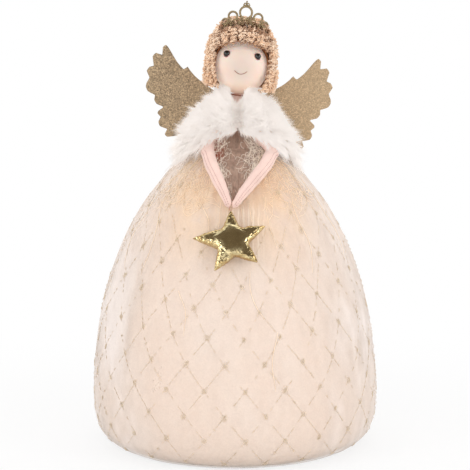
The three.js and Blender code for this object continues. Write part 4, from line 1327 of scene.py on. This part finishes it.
class TOPPER_OT_bodice(bpy.types.Operator):
    """Pleats the bodice panel and lays curled silver threads on it"""
    bl_idname = "topper.bodice"
    bl_label = "Bodice"

    def execute(self, context):
        chance = random.Random(5)
        widths = [(0, 0.62), (0.15, 0.74), (0.3, 0.95), (0.42, 1), (0.68, 0.72), (0.9, 0.34), (1, 0.2)]
        top, foot, half = 0.2095, 0.1642, 0.0155

        def face(u, v, out=0.0):
            """u runs from -1 to 1 across, v from 0 at the top to 1 at the foot."""
            z = top + (foot - top) * v
            body = torso_reach(z) + 0.0011
            if z < skirt_height:
                rest = skirt_radius(z) + 0.0012
            else:
                rest = body + (skirt_radius(skirt_height) + 0.0012 - body) * step(0.2065, skirt_height, z)
            x = u * half * reading(widths, v)
            pleat = (math.cos(x * 4200 + 2.5 * noise.noise(Vector((0, 0, z * 60)))) * 0.00030
                     + noise.noise(Vector((x * 480, 7, z * 170))) * 0.0006)
            calm = min(1, (1 - abs(u)) * 6)
            radius = rest + pleat * calm + out
            return Vector((x, -math.sqrt(max(1e-6, radius * radius - x * x)), z))

        shape = bmesh.new()
        bmesh.ops.create_grid(shape, x_segments=64, y_segments=72, size=1.0)
        for v in shape.verts:
            v.co = face(v.co.x, (1 - v.co.y) / 2)
        for f in shape.faces:
            if f.normal.y > 0:
                f.normal_flip()
        area = sum(f.calc_area() for f in shape.faces)
        thing = from_shape("bodice_cloth", shape, "bodice")
        add_modifier(thing, "SOLIDIFY", thickness=0.0003, offset=0.0, use_rim=True)
        settle(thing)
        carried(thing, "topper", "bodice", "bodice_panel")
        curls = []
        for i in range(300):
            edge = chance.choice((-1, 1)) * (chance.random() ** 0.24)
            v = chance.uniform(0.05, 0.97)
            u = edge * (1.0 if v < 0.7 else 1.2)
            points = []
            heading, turn = chance.uniform(0, 6.28), chance.uniform(-0.3, 0.3)
            cx, cv = u, v
            for k in range(chance.randint(10, 22)):
                out = 0.0004 + 0.0010 * abs(noise.noise(Vector((i * 3.1, k * 0.35, 0))))
                points.append(face(max(-1.25, min(1.25, cx)), min(1.0, max(0.0, cv)), out))
                heading += turn + chance.uniform(-0.6, 0.6)
                cx += math.cos(heading) * 0.036
                cv += math.sin(heading) * 0.014
            thick = chance.uniform(0.00007, 0.00014)
            curls.append((points, [thick] * len(points)))
        thing = strands("silver_curls", curls, "silver", 4)
        carried(thing, "topper", "bodice")

        frills = []
        for i in range(420):
            side = chance.choice((-1, 1))
            angle, z = side * chance.uniform(0.34, 1.05), 0.160 + 0.034 * chance.random() ** 0.7
            heading = chance.choice((-1.57, 1.57)) + chance.uniform(-0.7, 0.7)
            turn = chance.uniform(-0.2, 0.2)
            points = []
            for k in range(chance.randint(7, 16)):
                out = 0.0004 + 0.0012 * abs(noise.noise(Vector((i * 2.3, k * 0.4, 5))))
                points.append(net_point(min(0.1955, z), angle, out))
                heading += turn + chance.uniform(-0.3, 0.3)
                angle += math.cos(heading) * 0.016
                z += math.sin(heading) * 0.0008
            frills.append((points, [chance.uniform(0.00005, 0.0001)] * len(points)))
        thing = strands("waist_frill", frills, "frill_thread", 4)
        carried(thing, "topper", "net")
        edges = []
        for _, _, route in net_ridges:
            line = smooth_line([Vector((angle, z, 0)) for z, angle in route], 40)
            under_star = abs(route[0][1]) < 0.4 and route[0][0] > 0.13
            thick, out = (0.00007, -0.0001) if under_star else (0.00013, 0.00015)
            line = [net_point(p.y, p.x, out) for p in line]
            edges.append((line, [0.00004 + thick * math.sin(math.pi * k / 39) ** 0.5 for k in range(40)]))
        thing = strands("net_edges", edges, "frill_thread", 4)
        carried(thing, "topper", "net")
        return {"FINISHED"}


def star_outline():
    """The star's outline in its own plane."""
    points = []
    for i, (turn, reach) in enumerate(star_tips):
        next_turn, next_reach = star_tips[(i + 1) % 5]
        half = (next_turn - turn + (1 if next_turn < turn else 0)) / 2
        for way, out in star_shares[:-1]:
            points.append((turn + half * way, out * reach))
        points.append((turn + half, star_shares[-1][1] * (reach + next_reach) / 2))
        for way, out in star_shares[1:-1][::-1]:
            points.append((turn + half * (2 - way), out * next_reach))
    return [Vector((star_radius * out * math.sin(2 * math.pi * at),
                    star_radius * out * math.cos(2 * math.pi * at), 0)) for at, out in points]


class TOPPER_OT_star(bpy.types.Operator):
    """Stuffs the foil star by simulation, and hangs it from the hands"""
    bl_idname = "topper.star"
    bl_label = "Star"

    def execute(self, context):
        large = 10.0
        shape = plate([p * large for p in star_outline()], (0, 0, 0.03))
        bmesh.ops.translate(shape, verts=shape.verts, vec=(0, 0, -0.015))
        bmesh.ops.triangulate(shape, faces=shape.faces)
        thing = from_shape("foil_star", shape, "foil")
        add_modifier(thing, "REMESH", mode="VOXEL", voxel_size=0.0075)
        settle(thing)
        rest = [v.co.copy() for v in thing.data.vertices]
        cloth = add_modifier(thing, "CLOTH")
        settings = cloth.settings
        settings.quality = 8
        settings.mass = 0.25
        settings.use_pressure = True
        settings.uniform_pressure_force = 5.0
        settings.tension_stiffness = settings.compression_stiffness = 40
        settings.shear_stiffness = 20
        settings.bending_stiffness = 0.6
        settings.effector_weights.gravity = 0.0
        cloth.collision_settings.use_collision = False
        scene = context.scene
        scene.frame_start, scene.frame_end = 1, 20
        cloth.point_cache.frame_start, cloth.point_cache.frame_end = 1, 20
        for number in range(1, 21):
            scene.frame_set(number)
        settle(thing)
        scene.frame_set(1)
        cap = 0.045
        for v, old in zip(thing.data.vertices, rest):
            moved = v.co - old
            if moved.length > cap:
                moved *= cap / moved.length
            v.co = old + Vector((moved.x * 0.25, moved.y * 0.25, moved.z))
        place = (Matrix.Translation(star_middle) @ Matrix.Rotation(-star_slope, 4, "X")
                 @ Matrix.Rotation(math.pi / 2, 4, "X"))
        verts = thing.data.vertices
        for v in verts:
            flat = v.co.xy / large
            flat *= 1.01 + 0.05 * min(1.0, flat.length / star_radius) ** 6
            v.co = Vector((flat.x, flat.y, v.co.z))
        linked = [[] for v in verts]
        for a, b in (e.vertices for e in thing.data.edges):
            linked[a].append(b)
            linked[b].append(a)
        inner = [v.index for v in verts if abs(v.co.z) > 0.004 and min(
            (v.co.xy - p.xy).length for p in star_outline()) > 0.0006]
        filled = [0.0] * len(verts)
        for sweep in range(240):
            for i in (inner if sweep % 2 else inner[::-1]):
                filled[i] = sum(filled[k] for k in linked[i]) / len(linked[i]) + 1.0
        most = max(filled)
        deep = max(abs(v.co.z) for v in verts)
        for v in verts:
            full = math.sqrt(filled[v.index] / most) * math.copysign(1, v.co.z)
            v.co.z = star_thickness * 0.5 * (0.85 * full + 0.15 * v.co.z / deep)
        add_modifier(thing, "SUBSURF", levels=1, render_levels=1)
        settle(thing)
        outline = star_outline()
        outline = [a.lerp(b, k / 6) for a, b in zip(outline, outline[1:] + outline[:1]) for k in range(6)]
        seam = []
        for v in thing.data.vertices:
            near = min((v.co.xy - p.xy).length for p in outline)
            seam.append(1 - step(0.0008, 0.0048, near))
            pucker = seam[-1] * noise.noise(Vector((v.co.x * 900, v.co.y * 900, 0)))
            v.co.z += math.copysign(1, v.co.z) * pucker * 0.0004 * min(1, abs(v.co.z) / 0.0008)
        thing.data.attributes.new("seam", "FLOAT", "POINT").data.foreach_set("value", seam)
        thing.data.transform(place)
        carried(thing, "star", "foil", "star")

        turn, out = star_tips[0]
        tip = place @ Vector((star_radius * out * math.sin(2 * math.pi * turn),
                              star_radius * out * math.cos(2 * math.pi * turn), 0))
        loops = []
        for shift in (-0.0003, 0.0003):
            low = tip + Vector((shift, 0, -0.0006))
            high = Vector((hands.x + shift * 2, hands.y - 0.0002, hands.z + 0.0008))
            bend = (low + high) / 2 + Vector((shift, -0.0003, 0))
            points = smooth_line([low, bend, high], 10)
            loops.append((points, [0.00022] * len(points)))
        thing = strands("star_thread", loops, "thread", 4)
        carried(thing, "star_loop", "thread", "star_stitch")
        return {"FINISHED"}


def on_face(x, z, radius):
    return Vector((x, -math.sqrt(max(0.0, radius * radius - x * x - z * z)), z))


class TOPPER_OT_head(bpy.types.Operator):
    """Makes the stuffed head with bead eyes and a stitched smile"""
    bl_idname = "topper.head"
    bl_label = "Head and Face"

    def execute(self, context):
        shape = bmesh.new()
        bmesh.ops.create_uvsphere(shape, u_segments=72, v_segments=48, radius=head_radius)
        for v in shape.verts:
            v.co *= 1 + 0.004 * noise.noise(v.co * 90)
        bmesh.ops.transform(shape, matrix=on_head, verts=shape.verts)
        thing = from_shape("head_ball", shape, "skin")
        carried(thing, "topper", "skin", "head")

        eye_radius, rim_radius = 0.00205, 0.00225
        for side, name, node in ((1, "left_eye", "eye_left"), (-1, "right_eye", "eye_right")):
            seat = on_face(side * 0.0101, 0.008, head_radius + 0.0005)
            shape = bmesh.new()
            bmesh.ops.create_uvsphere(shape, u_segments=32, v_segments=20, radius=eye_radius)
            bmesh.ops.scale(shape, vec=(1, 0.8, 1), verts=shape.verts)
            bmesh.ops.translate(shape, vec=seat, verts=shape.verts)
            bmesh.ops.transform(shape, matrix=on_head, verts=shape.verts)
            thing = from_shape(name, shape, "bead")
            carried(thing, "topper", "bead", node)
            ring = []
            out = seat.normalized()
            across = Vector((0, 0, 1)).cross(out).normalized()
            upward = out.cross(across)
            for i in range(29):
                turn = 2 * math.pi * i / 28
                ring.append(on_head @ (out * (head_radius - 0.00005) + across * (rim_radius * math.cos(turn))
                                       + upward * (rim_radius * math.sin(turn))))
            lashes = [(ring, [0.00022] * len(ring))]
            for k in range(4):
                turn = math.radians(38 + 30 * k) if side > 0 else math.radians(142 - 30 * k)
                way = across * math.cos(turn) * -1 + upward * math.sin(turn)
                p = out * (head_radius + 0.00005) + way * 0.0026
                q = out * (head_radius - 0.0001) + way * 0.0033
                lashes.append(([on_head @ p, on_head @ q], [0.0001, 0.00005]))
            thing = strands(name + "_rim", lashes[:1], "seam_thread", 4)
            carried(thing, "topper", "thread")
            thing = strands(name + "_lashes", lashes[1:], "thread", 4)
            carried(thing, "topper", "thread")

        smile = []
        for i in range(17):
            across = 2 * i / 16 - 1
            smile.append(on_head @ on_face(across * 0.0041, -0.0022 - 0.0021 * (1 - across * across),
                                           head_radius + 0.0001))
        thing = strands("smile", [(smile, [0.00015] + [0.00024] * 15 + [0.00015])], "thread", 6)
        carried(thing, "topper", "thread", "mouth_thread")
        return {"FINISHED"}


def hair_point(angle, up, layer=1.0):
    """On the wig's outer shape: angle about the head, share of the way up."""
    z = up * (hair_rise + hair_drop) - hair_drop
    radius = hair_half_width * reading(hair_shares, up)
    x, y = radius * math.sin(angle), -hair_depth_share * radius * math.cos(angle)
    return Vector((x * layer, y * layer, z * (layer if z > 0 else 1)))


def hair_top(x, y):
    """Height of the wig's crown over a place."""
    away = math.hypot(x, y / hair_depth_share) / hair_half_width
    low, high = 0.4, 1.0
    for _ in range(20):
        mid = (low + high) / 2
        low, high = (mid, high) if reading(hair_shares, mid) > away else (low, mid)
    return low * (hair_rise + hair_drop) - hair_drop


# Tiara: its curve in plan, and its band's foot and height, from its middle round to its ends.
tiara_radius, tiara_front, tiara_end = 0.015, 0.010, math.radians(76.7)


def tiara_foot(turn):
    return 0.0252 - 0.0016 * (turn / tiara_end) ** 2


def tiara_top(turn):
    return tiara_foot(turn) + 0.0014 + 0.0042 * (1 - (turn / tiara_end) ** 2)


def tiara_place(turn, z, radius=tiara_radius):
    return Vector((radius * math.sin(turn), tiara_radius - tiara_front - radius * math.cos(turn), z))


class TOPPER_OT_wig(bpy.types.Operator):
    """Lays coiled yarn over the wig's cap: crown, fringe, side locks and back"""
    bl_idname = "topper.wig"
    bl_label = "Wig"

    def execute(self, context):
        chance = random.Random(3)
        thick, curl, pitch = sizes().yarn_radius, sizes().curl_radius, sizes().curl_pitch
        loop_spacing = 0.00072
        shape = bmesh.new()
        bmesh.ops.create_uvsphere(shape, u_segments=64, v_segments=40, radius=head_radius + 0.0009)
        face = []
        for v in shape.verts:
            low = v.co.z < -0.0125
            front = v.co.y < 0.001 and v.co.z < 0.0186 and v.co.x ** 2 + (0.7 * v.co.z) ** 2 < 0.0184 ** 2
            if low or front:
                face.append(v)
        bmesh.ops.delete(shape, geom=face, context="VERTS")
        bmesh.ops.transform(shape, matrix=on_head, verts=shape.verts)
        cap = from_shape("wig_net", shape, "wig_net")
        add_modifier(cap, "SOLIDIFY", thickness=0.0005, offset=-1.0, use_rim=True)
        settle(cap)
        carried(cap, "topper", "yarn", "wig_cap")

        straight = on_head.inverted()
        # A dark cord along the cap's opening is a painted shadow line at the hairline.
        hem = []
        for x, z in ((-0.97, -0.6), (-0.99, -0.1), (-0.97, 0.3), (-0.88, 0.6), (-0.72, 0.8),
                     (-0.4, 0.93), (0, 0.98), (0.4, 0.93), (0.72, 0.8), (0.88, 0.6), (0.97, 0.3),
                     (0.99, -0.1), (0.97, -0.6)):
            hem.append(on_face(x * head_radius, z * head_radius, head_radius + 0.0007))
        hem = [on_head @ p for p in smooth_line(hem, 60)]
        edge = strands("wig_hem", [(hem, [0.00055] * len(hem))], "hairline_shadow_cord", 8)
        carried(edge, "topper", "yarn")

        # How deep a point lies inside the wig's mass; the yarn finish paints shade with it.
        def depth(co):
            local = straight @ co
            up = (local.z + hair_drop) / (hair_rise + hair_drop)
            shell = hair_half_width * reading(hair_shares, up)
            if up > 0.75:
                gone = hair_top(local.x, local.y) - local.z if math.hypot(local.x, local.y) < 0.0165 else 0.0
                return max(0.0, min(1.0, gone / 0.0035))
            return max(0.0, min(1.0, (shell - math.hypot(local.x, local.y / hair_depth_share)) / 0.0042))

        def lay(name, guides, node):
            lines = []
            for guide in guides:
                points = smooth_line(guide, 40)
                made = coil(points, curl * chance.uniform(0.85, 1.15), pitch * chance.uniform(0.8, 1.2),
                            chance.uniform(0, 6.28), 8)
                made = [on_head @ p for p in made]
                lines.append((made, [thick * chance.uniform(0.85, 1.1)] * len(made)))
                for _ in range(int((points[-1] - points[0]).length / loop_spacing)):
                    at = points[chance.randint(1, 38)]
                    at = at + Vector([chance.uniform(-0.0012, 0.0012) for _ in range(3)])
                    out = Vector((at.x, at.y, max(0.0, at.z))).normalized()
                    plane = (out + Vector([chance.uniform(-1, 1) for _ in range(3)])).normalized()
                    across = plane.orthogonal().normalized()
                    upward = plane.cross(across)
                    wide, turn = chance.uniform(0.0005, 0.001), chance.uniform(0, 6.28)
                    at += out * chance.uniform(0.0, 0.0011)
                    loop = [at + across * (wide * math.cos(turn + 0.95 * i))
                            + upward * (wide * math.sin(turn + 0.95 * i)) + plane * (0.00016 * i)
                            for i in range(chance.randint(5, 9))]
                    radii = [thick * chance.uniform(0.55, 0.75)] * len(loop)
                    lines.append(([on_head @ p for p in loop], radii))
            thing = strands(name, lines, "yarn", 6, tone=("depth", depth))
            carried(thing, "topper", "yarn", node)

        def meridian(angle, high, low, layer, sway=0.0, tuck=0.0):
            points = []
            for k in range(9):
                t = k / 8
                turn = angle + sway * math.sin(3.0 * t)
                turn -= math.copysign(tuck * t * t, angle)
                points.append(hair_point(turn, high + (low - high) * t, layer)
                              + noise.noise_vector(Vector((angle * 3, t * 6, layer))) * 0.0014)
            return points

        def from_tiara(angle, low, layer, sway=0.0):
            """From the tiara's foot forwards and down over the brow."""
            turn = max(-tiara_end, min(tiara_end, angle * 1.22))
            ends = step(0.6, 1.0, abs(turn))
            start = tiara_place(turn, tiara_foot(turn) + 0.0007 - 0.0022 * ends - (0.95 - layer) * 0.02,
                                tiara_radius + 0.0016 - 0.001 * ends)
            brow = hair_point(angle + sway, max(low + 0.03, 0.745 - 0.06 * abs(angle)), layer)
            end = hair_point(angle + sway, low, layer)
            rise = (0.0016 - 0.0022 * min(1.0, abs(angle)) ** 2) * layer
            bulge = start.lerp(brow, 0.5) + Vector((0, 0, rise))
            shake, slip = (noise.noise_vector(Vector((angle * 5, layer, k))) * 0.0013 for k in (3, 8))
            return [start, bulge + shake, brow + slip, brow.lerp(end, 0.55) + shake, end]

        crown, fringe, left, right, back = [], [], [], [], []
        for layer, many in ((0.915, 44), (0.83, 36)):
            for i in range(many):
                angle = 2 * math.pi * (i + 0.5 * (layer < 0.9)) / many
                turned = (angle + math.pi) % (2 * math.pi) - math.pi
                away = abs(turned)
                if away < 1.0:
                    low = 0.722 + 0.012 * math.cos(7 * turned) - 0.15 * away ** 2
                    fringe.append(from_tiara(turned, low, layer, chance.uniform(-0.05, 0.05)))
                elif away < 1.5:
                    fringe.append(from_tiara(turned, 0.6, layer))
                else:
                    crown.append(meridian(turned, 0.955, 0.58, layer, 0.05))
                if away >= 1.62:
                    back.append(meridian(turned, 0.62, 0.01, layer, 0.04))
        for side, locks in ((1, left), (-1, right)):
            for angle, layer, high in (
                (1.08, 0.91, 0.56), (1.2, 0.86, 0.58), (1.2, 0.93, 0.6), (1.33, 0.87, 0.62), (1.34, 0.94, 0.62),
                (1.46, 0.86, 0.62), (1.5, 0.93, 0.62), (1.62, 0.91, 0.62), (1.6, 0.84, 0.62),
            ):
                tuck = 0.32 * max(0.0, (1.62 - angle) / 0.5)
                locks.append(meridian(side * angle, high, -0.02, layer, 0.03, tuck))
        for i in range(9):
            y = -0.0062 + 0.00235 * i
            wide = 0.0150 if y > 0.004 else math.sqrt(max(0.0, 0.0131 ** 2 - (y - 0.005) ** 2))
            wide = min(wide, 0.0165 if y < 0 else 0.0155)
            row = [Vector((wide * (k / 4 - 1), y, 0)) for k in range(9)]
            crown.append([Vector((p.x, p.y + 0.0006 * math.sin(9 * i + 900 * p.x),
                                  hair_top(p.x, p.y) - 0.0013)) for p in row])
        crown.append([Vector((0.0075 * (k / 4 - 1), -0.0082 + 0.0009 * (k / 4 - 1) ** 2,
                              hair_top(0, -0.008) - 0.0016)) for k in range(9)])
        lay("crown_yarn", crown, "hair_crown")
        lay("fringe_yarn", fringe, "hair_fringe")
        lay("left_lock_yarn", left, "hair_left")
        lay("right_lock_yarn", right, "hair_right")
        lay("back_yarn", back, "hair_back")
        return {"FINISHED"}


class TOPPER_OT_tiara(bpy.types.Operator):
    """Bends the tiara's wires, rings and scrolls"""
    bl_idname = "topper.tiara"
    bl_label = "Tiara"

    def execute(self, context):
        wire = sizes().tiara_wire

        def turn_of(x):
            return math.asin(max(-1, min(1, x / tiara_radius)))

        def at(x, z):
            return on_head @ tiara_place(turn_of(x), z)

        def band_foot(x):
            return tiara_foot(turn_of(x))

        def band_top(x):
            return tiara_top(turn_of(x))

        def ring(x, z, size):
            return [at(x + size * math.cos(2 * math.pi * i / 24), z + size * math.sin(2 * math.pi * i / 24))
                    for i in range(25)]

        def spiral(x, z, size, turns, side, phase=0.0):
            return [at(x + side * size * (1 - 0.75 * t / 30) * math.cos(phase + turns * 6.283 * t / 30),
                       z + size * (1 - 0.75 * t / 30) * math.sin(phase + turns * 6.283 * t / 30))
                    for t in range(31)]

        turns = [tiara_end * (2 * i / 32 - 1) for i in range(33)]

        def rail(height, radius):
            return [on_head @ tiara_place(t, height(t)) for t in turns], [radius] * 33

        lines = [rail(tiara_foot, wire * 0.85), rail(tiara_top, wire * 0.8)]
        rings = ((0.0, 0.0044, 0.0039), (0.00819, 0.00267, 0.0028), (0.0129, 0.0011, 0.0019))
        for x, stand, size in rings:
            for side in ((1, -1) if x else (1,)):
                z = band_top(x) + stand
                lines.append((ring(side * x, z, size), [wire * 1.35] * 25))
        for side in (1, -1):
            for x, size, phase in ((0.0021, 0.0018, 0.4), (0.0058, 0.0018, 2.2), (0.0092, 0.0015, 0.2),
                                   (0.0120, 0.0011, 2.4)):
                z = band_foot(x) * 0.42 + band_top(x) * 0.58
                points = spiral(side * x, z, size, 1.4, side, phase)
                lines.append((points, [wire * 0.55] * len(points)))
            for x in (0.0033, 0.0086, 0.0127):
                bar = [at(side * x, band_foot(x)), at(side * (x + 0.0007), (band_foot(x) + band_top(x)) / 2),
                       at(side * x, band_top(x))]
                lines.append((bar, [wire * 0.8] * 3))
            points = [at(side * (0.0030 + 0.0024 * t / 8),
                         band_top(0.004) + 0.0002 + 0.0016 * math.sin(math.pi * t / 8)) for t in range(9)]
            lines.append((points, [wire * 0.8] * 9))
        middle = band_top(0) + 0.0044
        lines.append(([at(0, band_top(0) - 0.001), at(0, middle - 0.0039)], [wire, wire]))
        top = middle + 0.0037
        lines.append(([at(-0.0019, top + 0.0009), at(0, top + 0.0004), at(0.0019, top + 0.0009)],
                      [wire * 1.1] * 3))
        for side in (1, -1):
            lines.append(([at(side * 0.0017, top + 0.0009), at(side * 0.0015, top + 0.0021), at(0, top + 0.0024)],
                          [wire * 0.8] * 3))
        lines.append(([at(0, top), at(0, top + 0.0034)], [wire * 0.8, wire * 0.6]))
        thing = strands("tiara_wires", lines, "tiara", 8)
        carried(thing, "topper", "tiara_metal", "tiara")
        beads = bmesh.new()
        spots = [(0, top + 0.0013, 0.0008), (0, top + 0.0033, 0.0006), (-0.0018, top + 0.0010, 0.0006),
                 (0.0018, top + 0.0010, 0.0006)]
        for side in (1, -1):
            spots.append((side * 0.00819, band_top(0.00819) + 0.00267 - 0.0027, 0.0008))
            spots.append((side * 0.0129, band_top(0.0129) + 0.00057 - 0.0018, 0.0008))
            spots.append((side * 0.0144, band_foot(0.0144), 0.0008))
            for x in (0.0033, 0.0060, 0.0086):
                spots.append((side * x, band_foot(x) + 0.0010, 0.0007))
        for x, z, size in spots:
            bmesh.ops.create_icosphere(beads, subdivisions=2, radius=size,
                                       matrix=Matrix.Translation(at(x, z)))
        thing = from_shape("tiara_beads", beads, "tiara")
        carried(thing, "topper", "tiara_metal")
        return {"FINISHED"}


class TOPPER_OT_wings(bpy.types.Operator):
    """Cuts the glittered wings"""
    bl_idname = "topper.wings"
    bl_label = "Wings"

    def execute(self, context):
        half = [Vector((x * wing_half_span, 0, z * wing_height)) for x, z in wing_shares]
        outline = half + [Vector((-p.x, 0, p.z)) for p in reversed(half[1:-1])]
        fine = []
        count = len(outline)
        for i in range(count):
            before, p, q, after = (outline[(i + k) % count] for k in (-1, 0, 1, 2))
            for k in range(4):
                t = k / 4
                fine.append(p * (1 - t) + q * t + (p - before + q - after) * (0.16 * t * (1 - t)))
        shape = plate([(p.x, collar_back, p.z + wing_middle) for p in fine], (0, sizes().wing_thickness, 0))
        bmesh.ops.recalc_face_normals(shape, faces=shape.faces)
        sharp = [e for e in shape.edges if len(e.link_faces) == 2 and e.calc_face_angle() > 1.2
                 and abs(e.verts[0].co.y - e.verts[1].co.y) < 1e-6]
        bmesh.ops.bevel(shape, geom=sharp, offset=0.00035, segments=3, profile=0.5, affect="EDGES",
                        material=-1)
        bmesh.ops.triangulate(shape, faces=[f for f in shape.faces if len(f.verts) > 8])
        bmesh.ops.transform(shape, matrix=leaning, verts=shape.verts)
        thing = from_shape("glitter_wings", shape, "glitter", smooth=False)
        carried(thing, "topper", "glitter", "wings")
        return {"FINISHED"}


def collar_edge(angle):
    side = min(1.0, abs(math.sin(angle / 2)) * 1.45)
    return collar_front_edge - (collar_front_edge - collar_foot) * side ** 1.15


def collar_point(angle, down, inset=0.0):
    edge = collar_edge(angle)
    top = collar_top - notch_depth * max(0.0, 1 - abs(angle) / notch_angle) ** 0.8
    z = top - down * (top - edge)
    radius = collar_half_width * reading(collar_shares, (collar_top - z) / (collar_top - collar_foot)) - inset
    p = around(radius, angle, z)
    return Vector((p.x + collar_shift, min(p.y, collar_back - 0.001), p.z))


class TOPPER_OT_collar(bpy.types.Operator):
    """Trims the collar: a soft under-body and thousands of fine fibres"""
    bl_idname = "topper.collar"
    bl_label = "Fur Collar"

    def execute(self, context):
        chance = random.Random(9)
        slit = math.asin(0.0105 / 0.03)
        shape = bmesh.new()
        bmesh.ops.create_grid(shape, x_segments=120, y_segments=28, size=1.0)
        for v in shape.verts:
            angle = v.co.x * (math.pi - slit - 0.12)
            room = 0.28 * (1 - step(0.9, 1.5, abs(angle)))
            down = 0.04 + (0.93 - room) * (v.co.y + 1) / 2
            p = collar_point(angle, down, 0.0064)
            v.co = p + noise.noise_vector(p * 130) * 0.0012
        bmesh.ops.reverse_faces(shape, faces=shape.faces)
        body = from_shape("fur_hide", shape, "under_fur")
        add_modifier(body, "SOLIDIFY", thickness=0.0016, offset=-1.0, use_rim=True)
        settle(body)
        carried(body, "topper", "fur", "fur_collar")

        count, long_hair, thick = sizes().fur_count, sizes().fur_length, sizes().fur_radius
        groups = [[], [], [], []]
        per_tuft, wall = 14, collar_back - 0.0006
        for _ in range(count // per_tuft):
            angle = chance.uniform(-1, 1) * (math.pi - slit - 0.1)
            down = 1 - chance.random() ** 0.85
            if chance.random() < 0.09:
                down = chance.uniform(0.0, 0.06)
            valley = max(0.0, 1 - abs(angle) / 0.16)
            inset = 0.0060 + 0.0014 * valley
            root = collar_point(angle, down, inset)
            side = (collar_point(angle + 0.02, down, inset) - root).normalized()
            drop = (collar_point(angle, min(1.0, down + 0.04), inset)
                    - collar_point(angle, max(0.0, down - 0.04), inset)).normalized()
            out = side.cross(drop).normalized()
            if out.dot(Vector((root.x, root.y, 0))) < 0:
                out.negate()
            swirl = noise.noise_vector(root * 120)
            apart = math.copysign(1.0, angle)
            if abs(angle) < 0.16 and 0.3 < down < 0.85 and chance.random() < 0.42:
                apart *= -chance.random()
            near_front = max(0.0, 1 - abs(angle) / 1.3)
            hem = step(0.72, 0.95, down) * step(0.35, 0.8, abs(angle))
            way = (out * (0.8 - 0.42 * valley - 0.25 * hem) + drop * (0.65 * down - 0.1 + 0.5 * hem)
                   + side * (apart * (0.45 * near_front + 0.35 * valley) + swirl.x * 0.7
                             + chance.uniform(-0.45, 0.45))
                   + drop * (swirl.y * 0.5 + chance.uniform(-0.4, 0.4)) + out * chance.uniform(-0.15, 0.3))
            if down < 0.08:
                way += Vector((0, 0, 0.35 * step(0.2, 0.7, abs(angle))))
            way.normalize()
            size = long_hair * chance.uniform(0.6, 1.2) * (0.85 + 0.35 * swirl.z)
            if down < 0.16:
                size *= 0.7 - 0.3 * max(0.0, 1 - abs(angle) / 0.5)
            size *= 1 + 0.45 * hem
            if abs(root.y - collar_back) < 0.006 and root.y > 0:
                size *= 0.5
            bend = Vector((0, 0, -1)) * (size * 0.22) + swirl * (size * 0.2)
            tip = root + way * size + bend
            quarter = 0 if angle < -1.57 else 1 if angle < 0 else 2 if angle < 1.57 else 3
            for _ in range(per_tuft):
                foot = root + side * chance.uniform(-0.0013, 0.0013) + drop * chance.uniform(-0.0013, 0.0013)
                stray = Vector([chance.gauss(0, 0.0011) for _ in range(3)])
                end = tip + stray - way * (size * chance.uniform(0.0, 0.3))
                middle = foot.lerp(end, 0.55) + out * (size * 0.05) - bend * 0.12
                points = [foot, middle, end]
                if max(p.y for p in points) > wall:
                    points = [Vector((p.x, min(p.y, wall), p.z)) for p in points]
                groups[quarter].append((points, [thick, thick * 0.75, thick * 0.15]))
        for number, lines in enumerate(groups):
            name = ("fur_back_right", "fur_front_right", "fur_front_left", "fur_back_left")[number]
            thing = strands(name, lines, "fur", 3)
            # The root attribute is 1 at a fibre's root and falls along it; the fur finish paints shade with it.
            per = len(thing.data.vertices) // max(1, len(lines))
            values = [max(0.0, 1 - (k % per) // 3 / 1.6) for k in range(len(thing.data.vertices))]
            attribute = thing.data.attributes.new("root", "FLOAT", "POINT")
            attribute.data.foreach_set("value", values)
            carried(thing, "topper", "fur")

        hook = Vector((collar_shift, -0.0188, 0.2226))
        loops = []
        for shift, wide, tall in ((-0.0009, 0.0009, 0.0012), (0.0011, 0.0008, 0.0010)):
            loops.append(([hook + Vector((shift + wide * math.cos(t * 0.5), -0.0004 * math.sin(t * 0.5),
                                          tall * math.sin(t * 0.5))) for t in range(14)], [0.00028] * 14))
        thing = strands("collar_hook", loops, "silver", 6)
        carried(thing, "topper", "fur")
        return {"FINISHED"}


class TOPPER_PT_panel(bpy.types.Panel):
    """Lists the topper's pieces, sizes and colours"""
    bl_idname = "TOPPER_PT_panel"
    bl_label = "Angel Tree Topper"
    bl_space_type = "VIEW_3D"
    bl_region_type = "UI"
    bl_category = "Topper"

    def draw(self, context):
        column = self.layout.column(align=True)
        for operator in pieces:
            column.operator(operator.bl_idname)
        for group in (context.scene.topper_sizes, context.scene.topper_colours):
            box = self.layout.box()
            for name in group.bl_rna.properties.keys():
                if name not in ("rna_type", "name"):
                    box.prop(group, name)


pieces = (TOPPER_OT_stage, TOPPER_OT_card, TOPPER_OT_skirt, TOPPER_OT_lattice, TOPPER_OT_body,
          TOPPER_OT_bodice, TOPPER_OT_arms, TOPPER_OT_star, TOPPER_OT_head, TOPPER_OT_wig,
          TOPPER_OT_tiara, TOPPER_OT_wings, TOPPER_OT_collar)
classes = (TOPPER_PG_sizes, TOPPER_PG_colours) + pieces + (TOPPER_PT_panel,)


def register():
    for kind in classes:
        bpy.utils.register_class(kind)
    bpy.types.Scene.topper_sizes = PointerProperty(type=TOPPER_PG_sizes)
    bpy.types.Scene.topper_colours = PointerProperty(type=TOPPER_PG_colours)


def unregister():
    del bpy.types.Scene.topper_colours
    del bpy.types.Scene.topper_sizes
    for kind in reversed(classes):
        bpy.utils.unregister_class(kind)


def main():
    register()
    for operator in pieces:
        group, name = operator.bl_idname.split(".")
        getattr(getattr(bpy.ops, group), name)()


if __name__ == "__main__":
    main()
